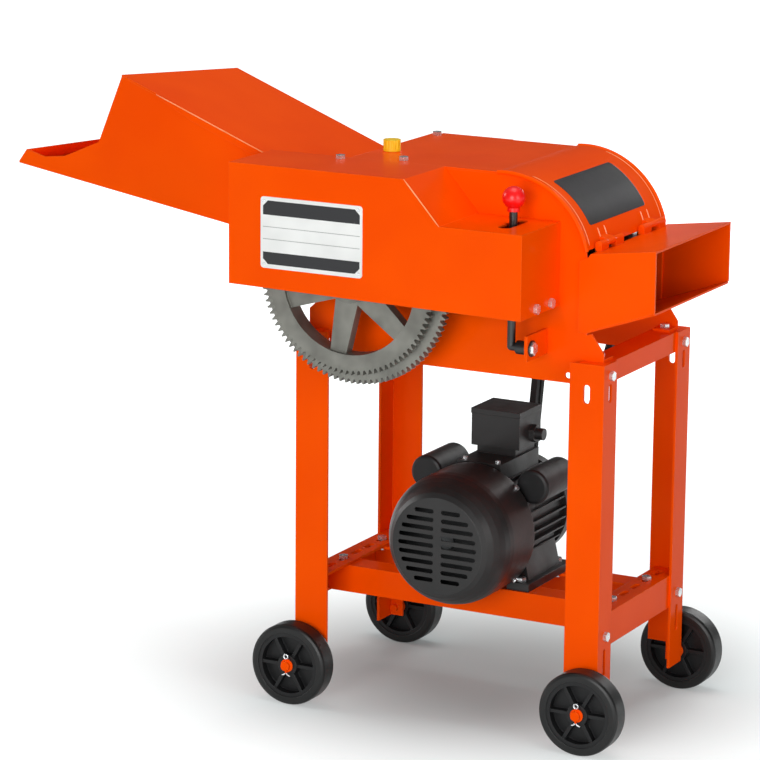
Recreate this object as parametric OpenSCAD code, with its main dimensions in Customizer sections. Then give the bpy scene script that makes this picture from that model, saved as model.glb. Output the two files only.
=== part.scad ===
// Electric chaff cutter on a wheeled stand
// X runs from the feed hopper to the chute, Y from the gear side to the belt side, Z up from the ground

/* [Stand] */
// length over the legs
stand_l = 502; // [494:2:520]
// width over the legs
stand_w = 308; // [300:2:320]
// height of the leg tops
stand_h = 571; // [560:1:580]
// width of a leg's front face
leg_face = 54; // [48:1:58]
// width of a leg's side face
leg_side = 45; // [42:1:48]
// height of a leg's lower end
leg_foot = 50; // [42:1:50]
// wall of the angle sections
angle_t = 4; // [3:0.5:5]
// height that the motor stands at
rail_top = 191; // [180:1:200]
// depth of a motor rail
rail_web = 42; // [38:1:46]
// depth of a side rail
side_web = 50; // [46:1:54]
// width of a rail's flange
rail_flange = 40; // [38:1:42]
// depth of a top beam
beam_web = 30; // [28:1:34]
// length of a slot in the legs, rails and side plates
slot_l = 28; // [24:1:30]
// width of a slot
slot_w = 10; // [9:0.5:11]

/* [Wheels] */
// diameter of a wheel
wheel_d = 125; // [115:1:130]
// width of a wheel
wheel_w = 35; // [30:1:38]
// distance from the stand's middle to a wheel's centre
wheel_x = 240; // [236:1:240]
// diameter of a stub axle
axle_d = 14; // [12:0.5:14]
// thickness of the tyre
tyre_t = 12.5; // [10:0.5:15]
// gap between leg and wheel
wheel_gap = 9; // [8:1:12]

/* [Body] */
// width over the side plates
body_w = 266; // [256:2:270]
// thickness of the sheet metal
sheet = 3; // [2:0.5:3]
// how far the side plates reach below the stand's top
plate_drop = 36; // [31:1:46]
// left edge of the side plates, where the hopper is fixed
plate_left = -196; // [-200:1:-192]
// left edge of the top sheet
top_left = -172; // [-176:1:-168]
// outer diameter of the rotor cover
drum_d = 268; // [266:1:272]
// angle of the rotor cover's lower edge above the horizontal
cover_low = 13.5; // [12:0.5:15]
// where the rotor cover meets the top sheet, left of the rotor
cover_lap = 12; // [8:1:20]
// diameter of the bead on the cover's edges
bead_d = 6.4; // [5:0.2:7]

/* [Rotor] */
// rotor's place along the machine
rotor_x = 82; // [80:0.5:84]
// rotor's height above the stand
rotor_up = 129; // [127:0.5:131]
// diameter of the main shaft
shaft_d = 30; // [26:1:32]
// radius that the knife edges sweep
knife_r = 118; // [112:1:119]
// number of knives
knives_n = 4; // [3:1:5]
// thickness of a knife
knife_t = 5; // [4:0.5:6]
// gap between knives and bed knife
knife_gap = 3; // [2:0.5:4]
// gap between knives and concave
concave_gap = 6; // [4:0.5:7]

/* [Feed gear] */
// tooth module of the feed gear and its pinion
gear_m = 3; // [2.95:0.05:3]
// teeth of the feed gear's rear ring
gear_teeth = 101; // [99:1:102]
// teeth of its front ring
ring_teeth = 90; // [86:1:92]
// teeth of the pinion
pinion_teeth = 36; // [34:1:36]
// width of each toothed ring
ring_w = 12; // [10:1:14]
// gap between the two rings
ring_gap = 6; // [4:1:8]
// rotor's height above the feed gear
feed_drop = 31; // [30:0.5:33]
// thickness taken off each tooth for backlash
tooth_thin = 0.7; // [0.6:0.05:0.9]
// number of spokes
spokes_n = 6; // [4:1:7]

/* [Feed rollers] */
// diameter of a feed roller
roller_d = 78; // [74:1:80]
// distance between the rollers
roller_pitch = 84; // [82:1:86]
// diameter of a roller's shaft
feed_shaft_d = 28; // [26:1:30]
// teeth of a synchronising gear
sync_teeth = 21; // [19:1:23]
// height of the upper roller's bearing block
block_h = 52; // [48:1:54]
// width of the block
block_w = 48; // [44:1:52]
// rise of the upper roller
roller_rise = 15; // [12:1:15]

/* [Hopper] */
// distance from the stand's middle to the hopper's tip, halfway across
tip_x = 730; // [710:1:740]
// height of the tip at the front wall, above the stand
tip_up = 206; // [199:1:214]
// distance from the stand's middle to the bend in the floor
bend_x = 377; // [370:1:390]
// height of the floor's bend above the stand
bend_up = 145; // [143:1:147]
// distance from the stand's middle to the mouth's upper edge, halfway across
mouth_x = 543; // [535:1:550]
// height of the mouth's upper edge above the stand
mouth_up = 341; // [329:1:344]
// how far the mouth's front corners stand out, and its rear ones back
mouth_skew = 23; // [0:1:26]
// slope of the hood in degrees
hood_slope = 21.3; // [20.5:0.1:21.5]

/* [Chute] */
// distance from the stand's middle to the chute's mouth
chute_x = 318; // [305:1:330]
// upper edge of the chute's mouth above the stand
chute_top_up = 169; // [167:1:179]
// lower edge of the chute's mouth above the stand
chute_low_up = 80; // [69:1:84]
// slope of the chute's floor in degrees
chute_slope = 19.3; // [18.5:0.1:19.5]

/* [Gear cover] */
// distance from the stand's middle to the cover's left face
guard_left = 305; // [300:1:312]
// distance from the stand's middle to the cover's right face
guard_right = 168; // [164:1:172]
// depth of the cover
guard_depth = 126; // [124:1:132]
// lower edge of the cover above the stand
guard_low_up = 75; // [69:1:79]
// height of the step above the stand
guard_step_up = 198; // [195:1:204]
// rise of the lower edge at its left end
guard_rake = 7; // [0:1:10]
// distance from the stand's middle to the top of the slope, to the left
slope_top = 19; // [10:1:25]
// distance from the stand's middle to the foot of the slope, to the right
slope_foot = 38; // [34:1:44]
// length of the nameplate
plate_l = 167; // [150:1:175]
// height of the nameplate
plate_h = 105; // [90:1:110]

/* [Lever] */
// diameter of the lever
lever_d = 12; // [10:0.5:12]
// lever's place along the machine, right of the rotor
lever_dx = 37; // [36.5:0.25:38]
// lever's distance in front of the front side plate
lever_out = 53; // [51:0.5:55]
// height of the lever's pivot above the stand
pivot_up = 21; // [15:1:25]
// height of the knob's centre above the stand
knob_up = 236; // [229:1:249]
// diameter of the knob
knob_d = 33; // [30:1:36]

/* [Motor] */
// motor's place along the machine
motor_x = 7; // [4:0.5:10]
// height of the motor's shaft above its feet
shaft_h = 90; // [90:0.5:92]
// distance between the feet along the motor
foot_pitch = 125; // [120:1:130]
// distance between the feet across the motor
foot_gauge = 140; // [136:1:144]
// middle of the feet across the machine
motor_y = 12.5; // [10:0.5:14]
// diameter of the fan cowl
cowl_d = 198; // [190:1:200]
// length of the fan cowl
cowl_l = 123; // [118:1:126]
// diameter of the motor's shaft
motor_shaft_d = 24; // [22:1:24]
// number of cooling ribs round the frame
ribs_n = 32; // [24:4:36]
// width of the terminal box
box_w = 80; // [70:1:86]
// height of the terminal box
box_h = 57; // [45:1:60]
// diameter of a capacitor
cap_d = 52; // [48:1:53]

/* [Belt drive] */
// diameter of the driven pulley
driven_d = 160; // [150:1:170]
// diameter of the motor pulley
drive_d = 80; // [76:1:84]
// width of the pulleys
pulley_w = 34; // [32:1:36]
// inner face of the pulleys, outside the rear side plate
pulley_out = 35; // [33:1:36]
// width of a belt
belt_w = 10; // [9:0.5:10]
// thickness of a belt
belt_t = 10; // [8:0.5:10]

/* [Fits] */
// radial clearance of a running fit
fit = 0.05; // [0.02:0.01:0.08]
// gap between parts that pass each other
gap = 0.5; // [0.4:0.05:0.6]
// diameter of the frame bolts
bolt_d = 8; // [7:0.5:8]

/* [Hidden] */
$fn = 64;

paint = "#FF5A0A";
zinc = "#C8CACC";
iron = "#6A6A66";
steel = "#9A9C9E";
black = "#282626";

// heights of what the stand carries
rotor_z = stand_h + rotor_up;
tip_z = stand_h + tip_up;
bend_z = stand_h + bend_up;
mouth_z = stand_h + mouth_up;
chute_top = stand_h + chute_top_up;
chute_low = stand_h + chute_low_up;
guard_low = stand_h + guard_low_up;
guard_step = stand_h + guard_step_up;
pivot_z = stand_h + pivot_up;
knob_z = stand_h + knob_up;
plate_foot = stand_h - plate_drop;

// stand
leg_x = stand_l / 2;
leg_y = stand_w / 2;
rail_x = leg_x - angle_t;
flange_x = rail_x - rail_flange;
side_y = leg_y - leg_side / 2;
rail_under = rail_top - angle_t;
side_rail_top = rail_top + angle_t;
bolt_r = bolt_d / 2;
hole_r = bolt_r + gap;
head_af = bolt_d * 1.625;
head_h = bolt_d * 0.7;
beam_bolt_z = stand_h - 18;
rail_bolt_z = side_rail_top - side_web * 0.6;
rail_bolt_x = rail_x - rail_flange * 0.55;
slot_z = stand_h - 44;
low_slot_l = slot_l + 14;
low_slot_z = rail_bolt_z - 40;
lug_w = 24;
heel_cut = 28;
foot_front = motor_y - foot_pitch / 2;
foot_rear = motor_y + foot_pitch / 2;
foot_inset = 17;
slot_pitch = foot_pitch / 3;

// wheels
wheel_r = wheel_d / 2;
axle_r = axle_d / 2;
rim_r = wheel_r - tyre_t;
wheel_in = leg_y + wheel_gap;
wheel_out = wheel_in + wheel_w;
axle_end = wheel_out + 8;

// body
body_y = body_w / 2;
in_y = body_y - sheet;
drum_r = drum_d / 2;
top_z = rotor_z + drum_r - 2;
plate_top = top_z - sheet;
tab_t = 4;
tab_in = in_y - 30;
tab_x = leg_x - 25;
top_tab = 25;
slope_drop = 39;
top_bolt_y = in_y - top_tab / 2 - 2;
front_bolt_x = top_left + 78;
rear_bolt_x = top_left + 14;
cap_x = top_left + 24;
cap_y = -body_y + 83;
cap_r = 8;
cover_left = rotor_x - cover_lap;
cover_end = 90 + asin(cover_lap / drum_r);
bead_r = bead_d / 2;
bead_over = 0.6;
bead_y = body_y + gap + bead_r;
hinge_x = rotor_x + drum_r + 3;
hinge_z = rotor_z + 37;
knuckle_r = 5;
pin_r = 2.5;
hinge_y = 75;
knuckle_w = 26;

// rotor and feed gear
shaft_r = shaft_d / 2;
feed_shaft_r = feed_shaft_d / 2;
center_d = gear_m * (gear_teeth + pinion_teeth) / 2;
feed_x = rotor_x - sqrt(center_d * center_d - feed_drop * feed_drop);
feed_z = rotor_z - feed_drop;
mesh_a = atan2(feed_drop, rotor_x - feed_x);
upper_z = feed_z + roller_pitch;
roller_r = roller_d / 2;
sync_m = roller_pitch / sync_teeth;
bearing_l = 27;
gear_y = -body_y - 70;
pinion_y = gear_y + 1;
pinion_w = ring_w + 2;
gear_front = gear_y - 2 * ring_w - ring_gap;
lever_y = -body_y - lever_out;
groove_w = 11;
shoe_r = groove_w / 2 - gap;
hub_r = 29;
groove_r = 22;
key_w = 8;
key_r = shaft_r + 3;
roller_end = in_y - 3;
block_in = in_y - 2;
block_out = body_y + 13;
sync_y = body_y + 27;
sync_w = 14;
sync_end = sync_y + sync_w + 2;
spring_seat = upper_z + block_h / 2 + roller_rise + 21;

// knives and throat
disc_r = knife_r - 32;
knife_in = disc_r + gap;
bar_in = disc_r - 12;
bar_out = knife_r - 10;
knife_bolt_r = knife_r - 20;
knife_bolt_y = [-0.7 * in_y, 14, 0.7 * in_y];
bar_t = 20;
concave_r = knife_r + concave_gap;
knife_edge = rotor_x - sqrt(pow(knife_r, 2) + pow(bar_t / 2 + knife_t, 2)) - knife_gap + 1;
table_left = feed_x + roller_r + 3;
knife_top = rotor_z + 12;
knife_bottom = rotor_z + 4;
concave_first = 191.5;
concave_last = 303;

// hopper
floor_left = feed_x - roller_r - 2;
floor_z = feed_z + roller_r - 2;
flange_left = plate_left - sheet;
tip_end = tip_x + mouth_skew;
tray_slope = (tip_z - bend_z) / (tip_end - bend_x);
lip_h = 19;
lip_l = 14;
hood_low = mouth_z - (mouth_x + flange_left) * tan(hood_slope);

// chute
chute_left = plate_right() - 12;
chute_start = 151;

// gear cover
guard_front = -body_y - guard_depth;
plate_t = 1;
rivet_h = 1.5;
knob_r = knob_d / 2;
lever_r = lever_d / 2;
lever_x = rotor_x + lever_dx;
lug_x = lever_x + 27;
lug_t = 5;
stud_r = 5;
bracket_t = 4;
bracket_end = -body_y - 92;
bracket_y = [-body_y - 30, -body_y - 79];
right_bolt_z = guard_low + 10;
left_bolt_z = guard_low + 91;
top_bracket_x = top_left - 8;
top_bracket_y = -body_y - 17;
right_in = guard_right - sheet;
left_in = sheet - guard_left;
plate_x = 54 - guard_left;
plate_z = guard_low + 36;
plate_r = 5;
rivet_inset = 6;
rivet_r = 2.5;

// motor
motor_z = rail_top + shaft_h;
motor_r = motor_shaft_d / 2;
cowl_r = cowl_d / 2;
face_r = cowl_r - 26;
shoulder = 55;
frame_r = shaft_h - 18;
rib_r = shaft_h - 10;
bell_r = shaft_h - 2;
rib_t = 2.6;
bore_r = frame_r - 20;
frame_half = 72;
frame_front = motor_y - frame_half;
frame_rear = motor_y + frame_half;
bell_l = 18.5;
cowl_rear = frame_front - 9.5;
cowl_front = cowl_rear - cowl_l;
foot_h = 12;
pad_top = shaft_h + 7;
pad_half = 36;
box_z = motor_z + pad_top + 11;
cap_place = [88, 70];

// belts
pulley_y = body_y + pulley_out;
groove_pitch = pulley_w / 2;
groove_depth = belt_t + 1;
belt_gap = 0.6;
shaft_end = pulley_y + pulley_w + 6;

// the origin is the middle of the machine's floor outline
y_front = guard_front - plate_t - rivet_h;
y_back = max(axle_end, shaft_end);
origin = [(tip_end - chute_x) / 2, -(y_front + y_back) / 2, 0];

function plate_right() = rotor_x + drum_r - sheet - 0.6;
function floor_height(x) = bend_z + (x + bend_x) / (floor_left + bend_x) * (floor_z - bend_z);
function hood_height(x) = mouth_z - (x + mouth_x) * tan(hood_slope);
function tray_height(x) = bend_z - (x + bend_x) * tray_slope;
function chute_floor(x) = chute_low - (chute_x - x) * tan(chute_slope);
function polar(r, a) = [r * cos(a), r * sin(a)];
function degrees_of(length, r) = length / r * 180 / PI;
function tooth_points(i, teeth, m, thin) =
    let (rp = teeth * m / 2, a = i * 360 / teeth, half = (PI * m / 2 - thin) / 2)
    let (tip = half - m * tan(20), root = half + m * tan(20))
    let (rt = rp + m, rf = rp - 1.25 * m)
    [polar(rf, a - degrees_of(root, rf)), polar(rt, a - degrees_of(tip, rt)),
     polar(rt, a + degrees_of(tip, rt)), polar(rf, a + degrees_of(root, rf))];

// helpers
module shifted() translate(origin) children();

module both_x() {
    children();
    mirror([1, 0, 0]) children();
}

module both_y() {
    children();
    mirror([0, 1, 0]) children();
}

module block(x0, x1, y0, y1, z0, z1) translate([x0, y0, z0]) cube([x1 - x0, y1 - y0, z1 - z0]);

module along_y(y0, y1) translate([0, y1, 0]) rotate([90, 0, 0]) linear_extrude(y1 - y0) children();

module rod_x(y, z, x0, x1, r) translate([x0, y, z]) rotate([0, 90, 0]) cylinder(h = x1 - x0, r = r);

module rod_y(x, z, y0, y1, r) translate([x, y0, z]) rotate([-90, 0, 0]) cylinder(h = y1 - y0, r = r);

module rod_z(x, y, z0, z1, r) translate([x, y, z0]) cylinder(h = z1 - z0, r = r);

module hex_x(y, z, x0, x1, af) translate([x0, y, z]) rotate([0, 90, 0]) hexagon(x1 - x0, af);

module hex_z(x, y, z0, z1, af) translate([x, y, z0]) hexagon(z1 - z0, af);

module hexagon(h, af) cylinder(h = h, d = af / cos(30), $fn = 6);

module turned_y(x, z, y) translate([x, y, z]) rotate([-90, 0, 0]) rotate_extrude() children();

// a bolt along Z that clamps what lies between low and high
module bolt_z(x, y, low, high) {
    hex_z(x, y, high, high + head_h, head_af);
    rod_z(x, y, low - head_h - 3, high, bolt_r);
    hex_z(x, y, low - head_h, low, head_af);
}

// a bolt along X that clamps what lies between low and high, with its head at high
module bolt_x(y, z, low, high) {
    hex_x(y, z, high, high + head_h, head_af);
    rod_x(y, z, low - head_h - 3, high, bolt_r);
    hex_x(y, z, low - head_h, low, head_af);
}

module slot_outline(l, w) {
    square([l - w, w], center = true);
    translate([(l - w) / 2, 0]) circle(d = w);
    translate([-(l - w) / 2, 0]) circle(d = w);
}

module gear_outline(teeth, m, thin) polygon([for (i = [0:teeth - 1]) each tooth_points(i, teeth, m, thin)]);

module ring_outline(outer, inner) {
    difference() {
        circle(outer);
        circle(inner);
    }
}

module sector_outline(r0, r1, a0, a1) {
    intersection() {
        ring_outline(r1, r0);
        polygon([[0, 0], each [for (i = [0:4]) polar(2 * r1, a0 + (a1 - a0) * i / 4)]]);
    }
}

// stand
// a leg whose face is cut away over heel above the floor end, all but the lug that holds the axle
module leg(heel) {
    difference() {
        union() {
            block(leg_x - leg_face, leg_x, -leg_y, angle_t - leg_y, leg_foot, stand_h);
            block(leg_x - angle_t, leg_x, -leg_y, leg_side - leg_y, leg_foot, stand_h);
        }
        translate([leg_x - leg_face / 2, 0, slot_z])
            along_y(-leg_y - 1, angle_t - leg_y + 1) rotate(90) slot_outline(slot_l, slot_w);
        translate([leg_x - angle_t - 1, -side_y, slot_z])
            rotate([0, 90, 0]) linear_extrude(angle_t + 2) slot_outline(slot_l, slot_w);
        translate([leg_x - angle_t - 1, -side_y, low_slot_z])
            rotate([0, 90, 0]) linear_extrude(angle_t + 2) slot_outline(low_slot_l, slot_w - 1);
        if (heel > 0) {
            block(leg_x - leg_face - 1, leg_x - lug_w, -leg_y - 1, angle_t - leg_y + 1,
                leg_foot - 1, leg_foot + heel);
        }
        rod_y(wheel_x, wheel_r, -leg_y - 1, angle_t - leg_y + 1, axle_r);
        for (z = [beam_bolt_z, rail_bolt_z]) {
            rod_x(-side_y, z, leg_x - angle_t - 1, leg_x + 1, hole_r);
        }
    }
}

module front_legs() color(paint) shifted() both_x() leg(0);

module rear_legs() color(paint) shifted() mirror([0, 1, 0]) both_x() leg(heel_cut);

module side_angle(top, web) {
    y = leg_y - angle_t;
    block(flange_x, rail_x, -y, y, top - angle_t, top);
    block(rail_x - angle_t, rail_x, -y, y, top - web, top);
}

module top_beams() color(paint) shifted() both_x() {
    difference() {
        side_angle(stand_h, beam_web);
        both_y() rod_x(-side_y, beam_bolt_z, flange_x, leg_x, hole_r);
        both_y() rod_z(tab_x, tab_in + 15, stand_h - angle_t - 1, stand_h + 1, hole_r);
    }
}

module side_rails() color(paint) shifted() both_x() {
    difference() {
        side_angle(side_rail_top, side_web);
        both_y() rod_x(-side_y, rail_bolt_z, flange_x, leg_x, hole_r);
        for (i = [-1:4]) {
            translate([rail_bolt_x, foot_front + i * slot_pitch, side_rail_top - angle_t - 1])
                linear_extrude(angle_t + 2) rotate(90) slot_outline(slot_l, slot_w);
        }
    }
}

// a motor rail whose face looks toward -Y, with its feet's line at y
module motor_rail(y) {
    x = rail_x - angle_t - gap;
    difference() {
        union() {
            block(-x, x, y - foot_inset, y - foot_inset + rail_flange, rail_under, rail_top);
            block(-x, x, y - foot_inset, y - foot_inset + angle_t, rail_top - rail_web, rail_top);
        }
        both_x() rod_z(rail_bolt_x, y, rail_under - 1, rail_top + 1, hole_r);
        for (side = [-1, 1]) {
            translate([motor_x + side * foot_gauge / 2, y, rail_under - 1])
                linear_extrude(angle_t + 2) slot_outline(slot_l, slot_w);
        }
    }
}

module motor_rails() color(paint) shifted() {
    motor_rail(foot_front);
    mirror([0, 1, 0]) motor_rail(-foot_rear);
}

module frame_bolts() color(zinc) shifted() both_x() {
    both_y() for (z = [beam_bolt_z, rail_bolt_z]) {
        bolt_x(-side_y, z, rail_x - angle_t, leg_x);
    }
    both_y() bolt_z(tab_x, tab_in + 15, stand_h - angle_t, stand_h + tab_t);
    for (y = [foot_front, foot_rear]) {
        bolt_z(rail_bolt_x, y, rail_under, side_rail_top);
    }
}

// wheels
module wheel_axles() color(paint) shifted() both_x() both_y() {
    rod_y(wheel_x, wheel_r, -axle_end, angle_t - leg_y, axle_r);
    rod_y(wheel_x, wheel_r, gap - wheel_in, -leg_y, axle_r + 4);
    rod_y(wheel_x, wheel_r, -wheel_out - gap - 1.5, -wheel_out - gap, axle_r + 3);
    translate([wheel_x, angle_t - leg_y, wheel_r]) rotate([-90, 0, 0]) cylinder(h = 8, r = axle_r - 1);
    translate([wheel_x, -axle_end + 4, wheel_r - axle_r - 4]) cylinder(h = axle_d + 8, r = 1.6, $fn = 24);
}

module at_wheel(sx, sy) shifted() translate([sx * wheel_x, sy * wheel_in, wheel_r])
    rotate([-90 * sy, 0, 0]) children();

module hub(sx, sy) color(black) at_wheel(sx, sy) {
    boss_r = axle_r + 9;
    difference() {
        union() {
            translate([0, 0, 1]) rotate_extrude() translate([rim_r - 6, 0]) square([6, wheel_w - 2]);
            cylinder(h = wheel_w, r = boss_r);
            translate([0, 0, wheel_w / 2 - 3]) cylinder(h = 6, r = rim_r - 1);
            for (i = [0:5]) {
                rotate(i * 60) translate([boss_r - 2, -2.5, 3]) cube([rim_r - boss_r - 2, 5, wheel_w - 6]);
            }
        }
        translate([0, 0, -1]) cylinder(h = wheel_w + 2, r = axle_r + fit);
    }
}

module tyre(sx, sy) color("#1C1C1C") at_wheel(sx, sy) {
    edge = tyre_t * 0.4;
    rotate_extrude() polygon([[rim_r, 0], [wheel_r - edge, 0], [wheel_r - edge * 0.3, edge * 0.3],
        [wheel_r, edge], [wheel_r, wheel_w - edge], [wheel_r - edge * 0.3, wheel_w - edge * 0.3],
        [wheel_r - edge, wheel_w], [rim_r, wheel_w]]);
}

module hub_front_left() hub(-1, -1);

module hub_front_right() hub(1, -1);

module hub_rear_left() hub(-1, 1);

module hub_rear_right() hub(1, 1);

module tyre_front_left() tyre(-1, -1);

module tyre_front_right() tyre(1, -1);

module tyre_rear_left() tyre(-1, 1);

module tyre_rear_right() tyre(1, 1);

// body
module plate_outline() {
    low = stand_h;
    foot = tab_x + 14;
    inner = flange_x - 1;
    corner = plate_right() + 8;
    difference() {
        union() {
            translate([rotor_x, rotor_z]) circle(plate_right() - rotor_x);
            polygon([[-inner, plate_foot], [inner, plate_foot], [inner, low], [foot, low], [foot, low + 12],
                [corner, chute_floor(corner) - 2 * sheet],
                [plate_right(), chute_floor(plate_right()) - 2 * sheet],
                [plate_right(), rotor_z], [rotor_x, plate_top],
                [top_left, plate_top],
                [plate_left, plate_top - slope_drop], [plate_left, low + 69], [-foot, low + 29], [-foot, low],
                [-inner, low]]);
        }
        translate([rotor_x, rotor_z]) circle(shaft_r + 2);
        translate([feed_x, feed_z]) circle(feed_shaft_r + 2);
        translate([feed_x - block_w / 2 - gap, upper_z - block_h / 2 - gap])
            square([block_w + 2 * gap, block_h + roller_rise + 2 * gap]);
        translate([inner - 14, plate_foot + 11]) slot_outline(slot_l - 4, slot_w - 1);
    }
}

// the rear side plate, with its tabs for the top sheet, the beams and the springs
module side_plate(bolt_x) {
    along_y(in_y, body_y) plate_outline();
    difference() {
        block(top_left + 5, rotor_x - 22, in_y - top_tab, in_y, plate_top - sheet, plate_top);
        rod_z(bolt_x, top_bolt_y, plate_top - sheet - 1, plate_top + 1, hole_r);
    }
    difference() {
        both_x() block(tab_x - 13, tab_x + 14, tab_in, in_y, stand_h, stand_h + tab_t);
        both_x() rod_z(tab_x, tab_in + 15, stand_h - 1, stand_h + tab_t + 1, hole_r);
    }
    block(feed_x - block_w / 2, feed_x + block_w / 2, body_y, block_out, spring_seat, spring_seat + tab_t);
}

module rear_side_plate() color(paint) shifted() side_plate(rear_bolt_x);

module front_side_plate() color(paint) shifted() mirror([0, 1, 0]) side_plate(front_bolt_x);

module top_sheet() color(paint) shifted() {
    difference() {
        block(top_left, cover_left - gap, -body_y, body_y, plate_top, top_z);
        rod_z(front_bolt_x, -top_bolt_y, plate_top - 1, top_z + 1, hole_r);
        rod_z(rear_bolt_x, top_bolt_y, plate_top - 1, top_z + 1, hole_r);
        rod_z(cap_x, cap_y, plate_top - 1, top_z + 1, cap_r + gap);
    }
    along_y(-in_y, in_y) polygon([[top_left, plate_top + sheet / 2], [top_left, plate_top],
        [plate_left, plate_top - slope_drop], [plate_left + sheet + gap, plate_top - slope_drop],
        [top_left + sheet + gap, plate_top], [top_left + sheet + gap, plate_top + sheet / 2]]);
}

module top_bolts() color(zinc) shifted() {
    bolt_z(front_bolt_x, -top_bolt_y, plate_top - sheet, top_z);
    bolt_z(rear_bolt_x, top_bolt_y, plate_top - sheet, top_z);
}

module drum_concave() color(paint) shifted() translate([rotor_x, 0, rotor_z])
    along_y(-in_y, in_y) sector_outline(concave_r, concave_r + sheet, concave_first, concave_last);

module knife_table() color(paint) shifted()
    block(table_left, knife_edge - 9, -in_y, in_y, knife_bottom - 24, knife_bottom);

module bed_knife() color(steel) shifted() along_y(-in_y, in_y)
    polygon([[table_left, knife_bottom], [knife_edge - 6, knife_bottom], [knife_edge, knife_top - 2],
        [knife_edge, knife_top], [table_left, knife_top]]);

// bead along one edge of the rotor cover
module cover_bead() {
    translate([rotor_x, 0, rotor_z]) rotate([90, 0, 0]) rotate([0, 0, cover_low - bead_over])
        rotate_extrude(angle = cover_end - cover_low + 2 * bead_over)
            translate([drum_r - sheet / 2, 0]) circle(bead_r);
}

module rotor_cover() color(paint) shifted() {
    axis = [rotor_x, rotor_z];
    translate([rotor_x, 0, rotor_z]) along_y(-bead_y, bead_y)
        sector_outline(drum_r - sheet, drum_r, cover_low, cover_end);
    both_y() translate([0, bead_y, 0]) cover_bead();
    both_y() difference() {
        along_y(hinge_y - knuckle_w / 2, hinge_y + knuckle_w / 2) {
            translate([hinge_x, hinge_z]) circle(knuckle_r);
            polygon([axis + polar(drum_r - 1, cover_low + 1), [hinge_x, hinge_z - knuckle_r + 2],
                [hinge_x, hinge_z + knuckle_r], axis + polar(drum_r - 1, cover_low + 6)]);
        }
        rod_y(hinge_x, hinge_z, 0, in_y, pin_r + fit);
    }
}

// the chute's floor between two places along the machine
module floor_strip(x0, x1) {
    polygon([[x0, chute_floor(x0) - sheet], [x0, chute_floor(x0)], [x1, chute_floor(x1)],
        [x1, chute_floor(x1) - sheet]]);
}

module chute() color(paint) shifted() {
    join = plate_right() + 1;
    top_start = hinge_x - 2;
    top_low = hinge_z - 10;
    wall_x = join + 7;
    both_y() along_y(body_y, body_y + sheet)
        polygon([[chute_left, chute_floor(join) - sheet], [chute_left, top_low - 12],
            [top_start - 3, top_low - 5], [top_start, top_low], [chute_x, chute_top], [chute_x, chute_low],
            [wall_x, chute_floor(wall_x)], [wall_x, chute_floor(wall_x) - sheet],
            [join, chute_floor(join) - sheet]]);
    along_y(-body_y, body_y) {
        polygon([[top_start, top_low - sheet], [top_start, top_low], [chute_x, chute_top],
            [chute_x, chute_top - sheet]]);
        floor_strip(join, chute_x);
    }
    along_y(-in_y, in_y) floor_strip(chute_start, join);
    both_y() for (side = [-1, 1]) {
        y = hinge_y + side * knuckle_w;
        half = knuckle_w / 2 - gap;
        along_y(y - half, y + half) {
            translate([hinge_x, hinge_z]) circle(knuckle_r);
            translate([hinge_x - knuckle_r, top_low]) square([2 * knuckle_r, hinge_z - top_low]);
        }
    }
    both_y() rod_y(hinge_x, hinge_z, hinge_y - knuckle_w * 1.5, hinge_y + knuckle_w * 1.5, pin_r);
}

// hopper
// a side wall whose mouth corners are shifted by skew
module hopper_wall(skew) {
    tip = skew - tip_x;
    mouth = skew - mouth_x;
    low = tray_height(tip);
    high = low + lip_h;
    polygon([[tip, low - sheet], [tip, low], [tip + lip_l, high], [tip + 46, high - 9], [tip + 83, high - 5],
        [mouth - 42, high + 22], [mouth, hood_height(mouth)], [flange_left, hood_low],
        [flange_left, floor_height(flange_left) - sheet], [-bend_x, bend_z - sheet]]);
}

// what lies to the right of a skewed line across the machine
module behind_mouth(x) {
    linear_extrude(2 * top_z)
        polygon([[x - mouth_skew, -body_y], [flange_left, -body_y], [flange_left, body_y],
            [x + mouth_skew, body_y]]);
}

module tray_floor() {
    low = floor_height(flange_left);
    intersection() {
        along_y(-in_y, in_y) polygon([[-tip_end, tip_z], [-bend_x, bend_z], [flange_left, low],
            [flange_left, low - sheet], [-bend_x, bend_z - sheet], [-tip_end, tip_z - sheet]]);
        behind_mouth(-tip_x);
    }
}

// the turned-up edge of the floor at the mouth
module tray_lip() {
    hull() for (side = [-1, 1]) {
        tip = side * mouth_skew * in_y / body_y - tip_x;
        low = tray_height(tip);
        along_y(side * in_y - 0.05, side * in_y + 0.05)
            polygon([[tip + 1, low - 1], [tip + lip_l, low + lip_h], [tip + lip_l + sheet, low + lip_h],
                [tip + 1 + sheet, low - 1]]);
    }
}

module hopper_tray() color(paint) shifted() {
    along_y(-body_y, -in_y) hopper_wall(-mouth_skew);
    along_y(in_y, body_y) hopper_wall(mouth_skew);
    tray_floor();
    tray_lip();
    along_y(gap - in_y, in_y - gap) polygon([[flange_left, floor_height(flange_left)], [floor_left, floor_z],
        [floor_left, floor_z - sheet], [flange_left, floor_height(flange_left) - sheet]]);
    difference() {
        block(flange_left, plate_left, -body_y, body_y, floor_z - 15, hood_low + 20);
        block(flange_left - 1, plate_left + 1, gap - in_y, in_y - gap, floor_z - sheet + 1, hood_low - 2);
    }
}

module hopper_hood() color(paint) shifted() intersection() {
    far = -mouth_x - mouth_skew;
    along_y(-body_y, body_y) polygon([[far, hood_height(far)], [flange_left, hood_low],
        [flange_left, hood_low + sheet], [far, hood_height(far) + sheet]]);
    behind_mouth(-mouth_x);
}

// gear cover
module guard_outline(t) {
    polygon([[t - guard_left, guard_low + guard_rake - t], [t - guard_left, top_z - t],
        [-slope_top - t * 0.4, top_z - t], [slope_foot - t * 0.4, guard_step - t],
        [guard_right - t, guard_step - t], [guard_right - t, guard_low - t]]);
}

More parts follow.
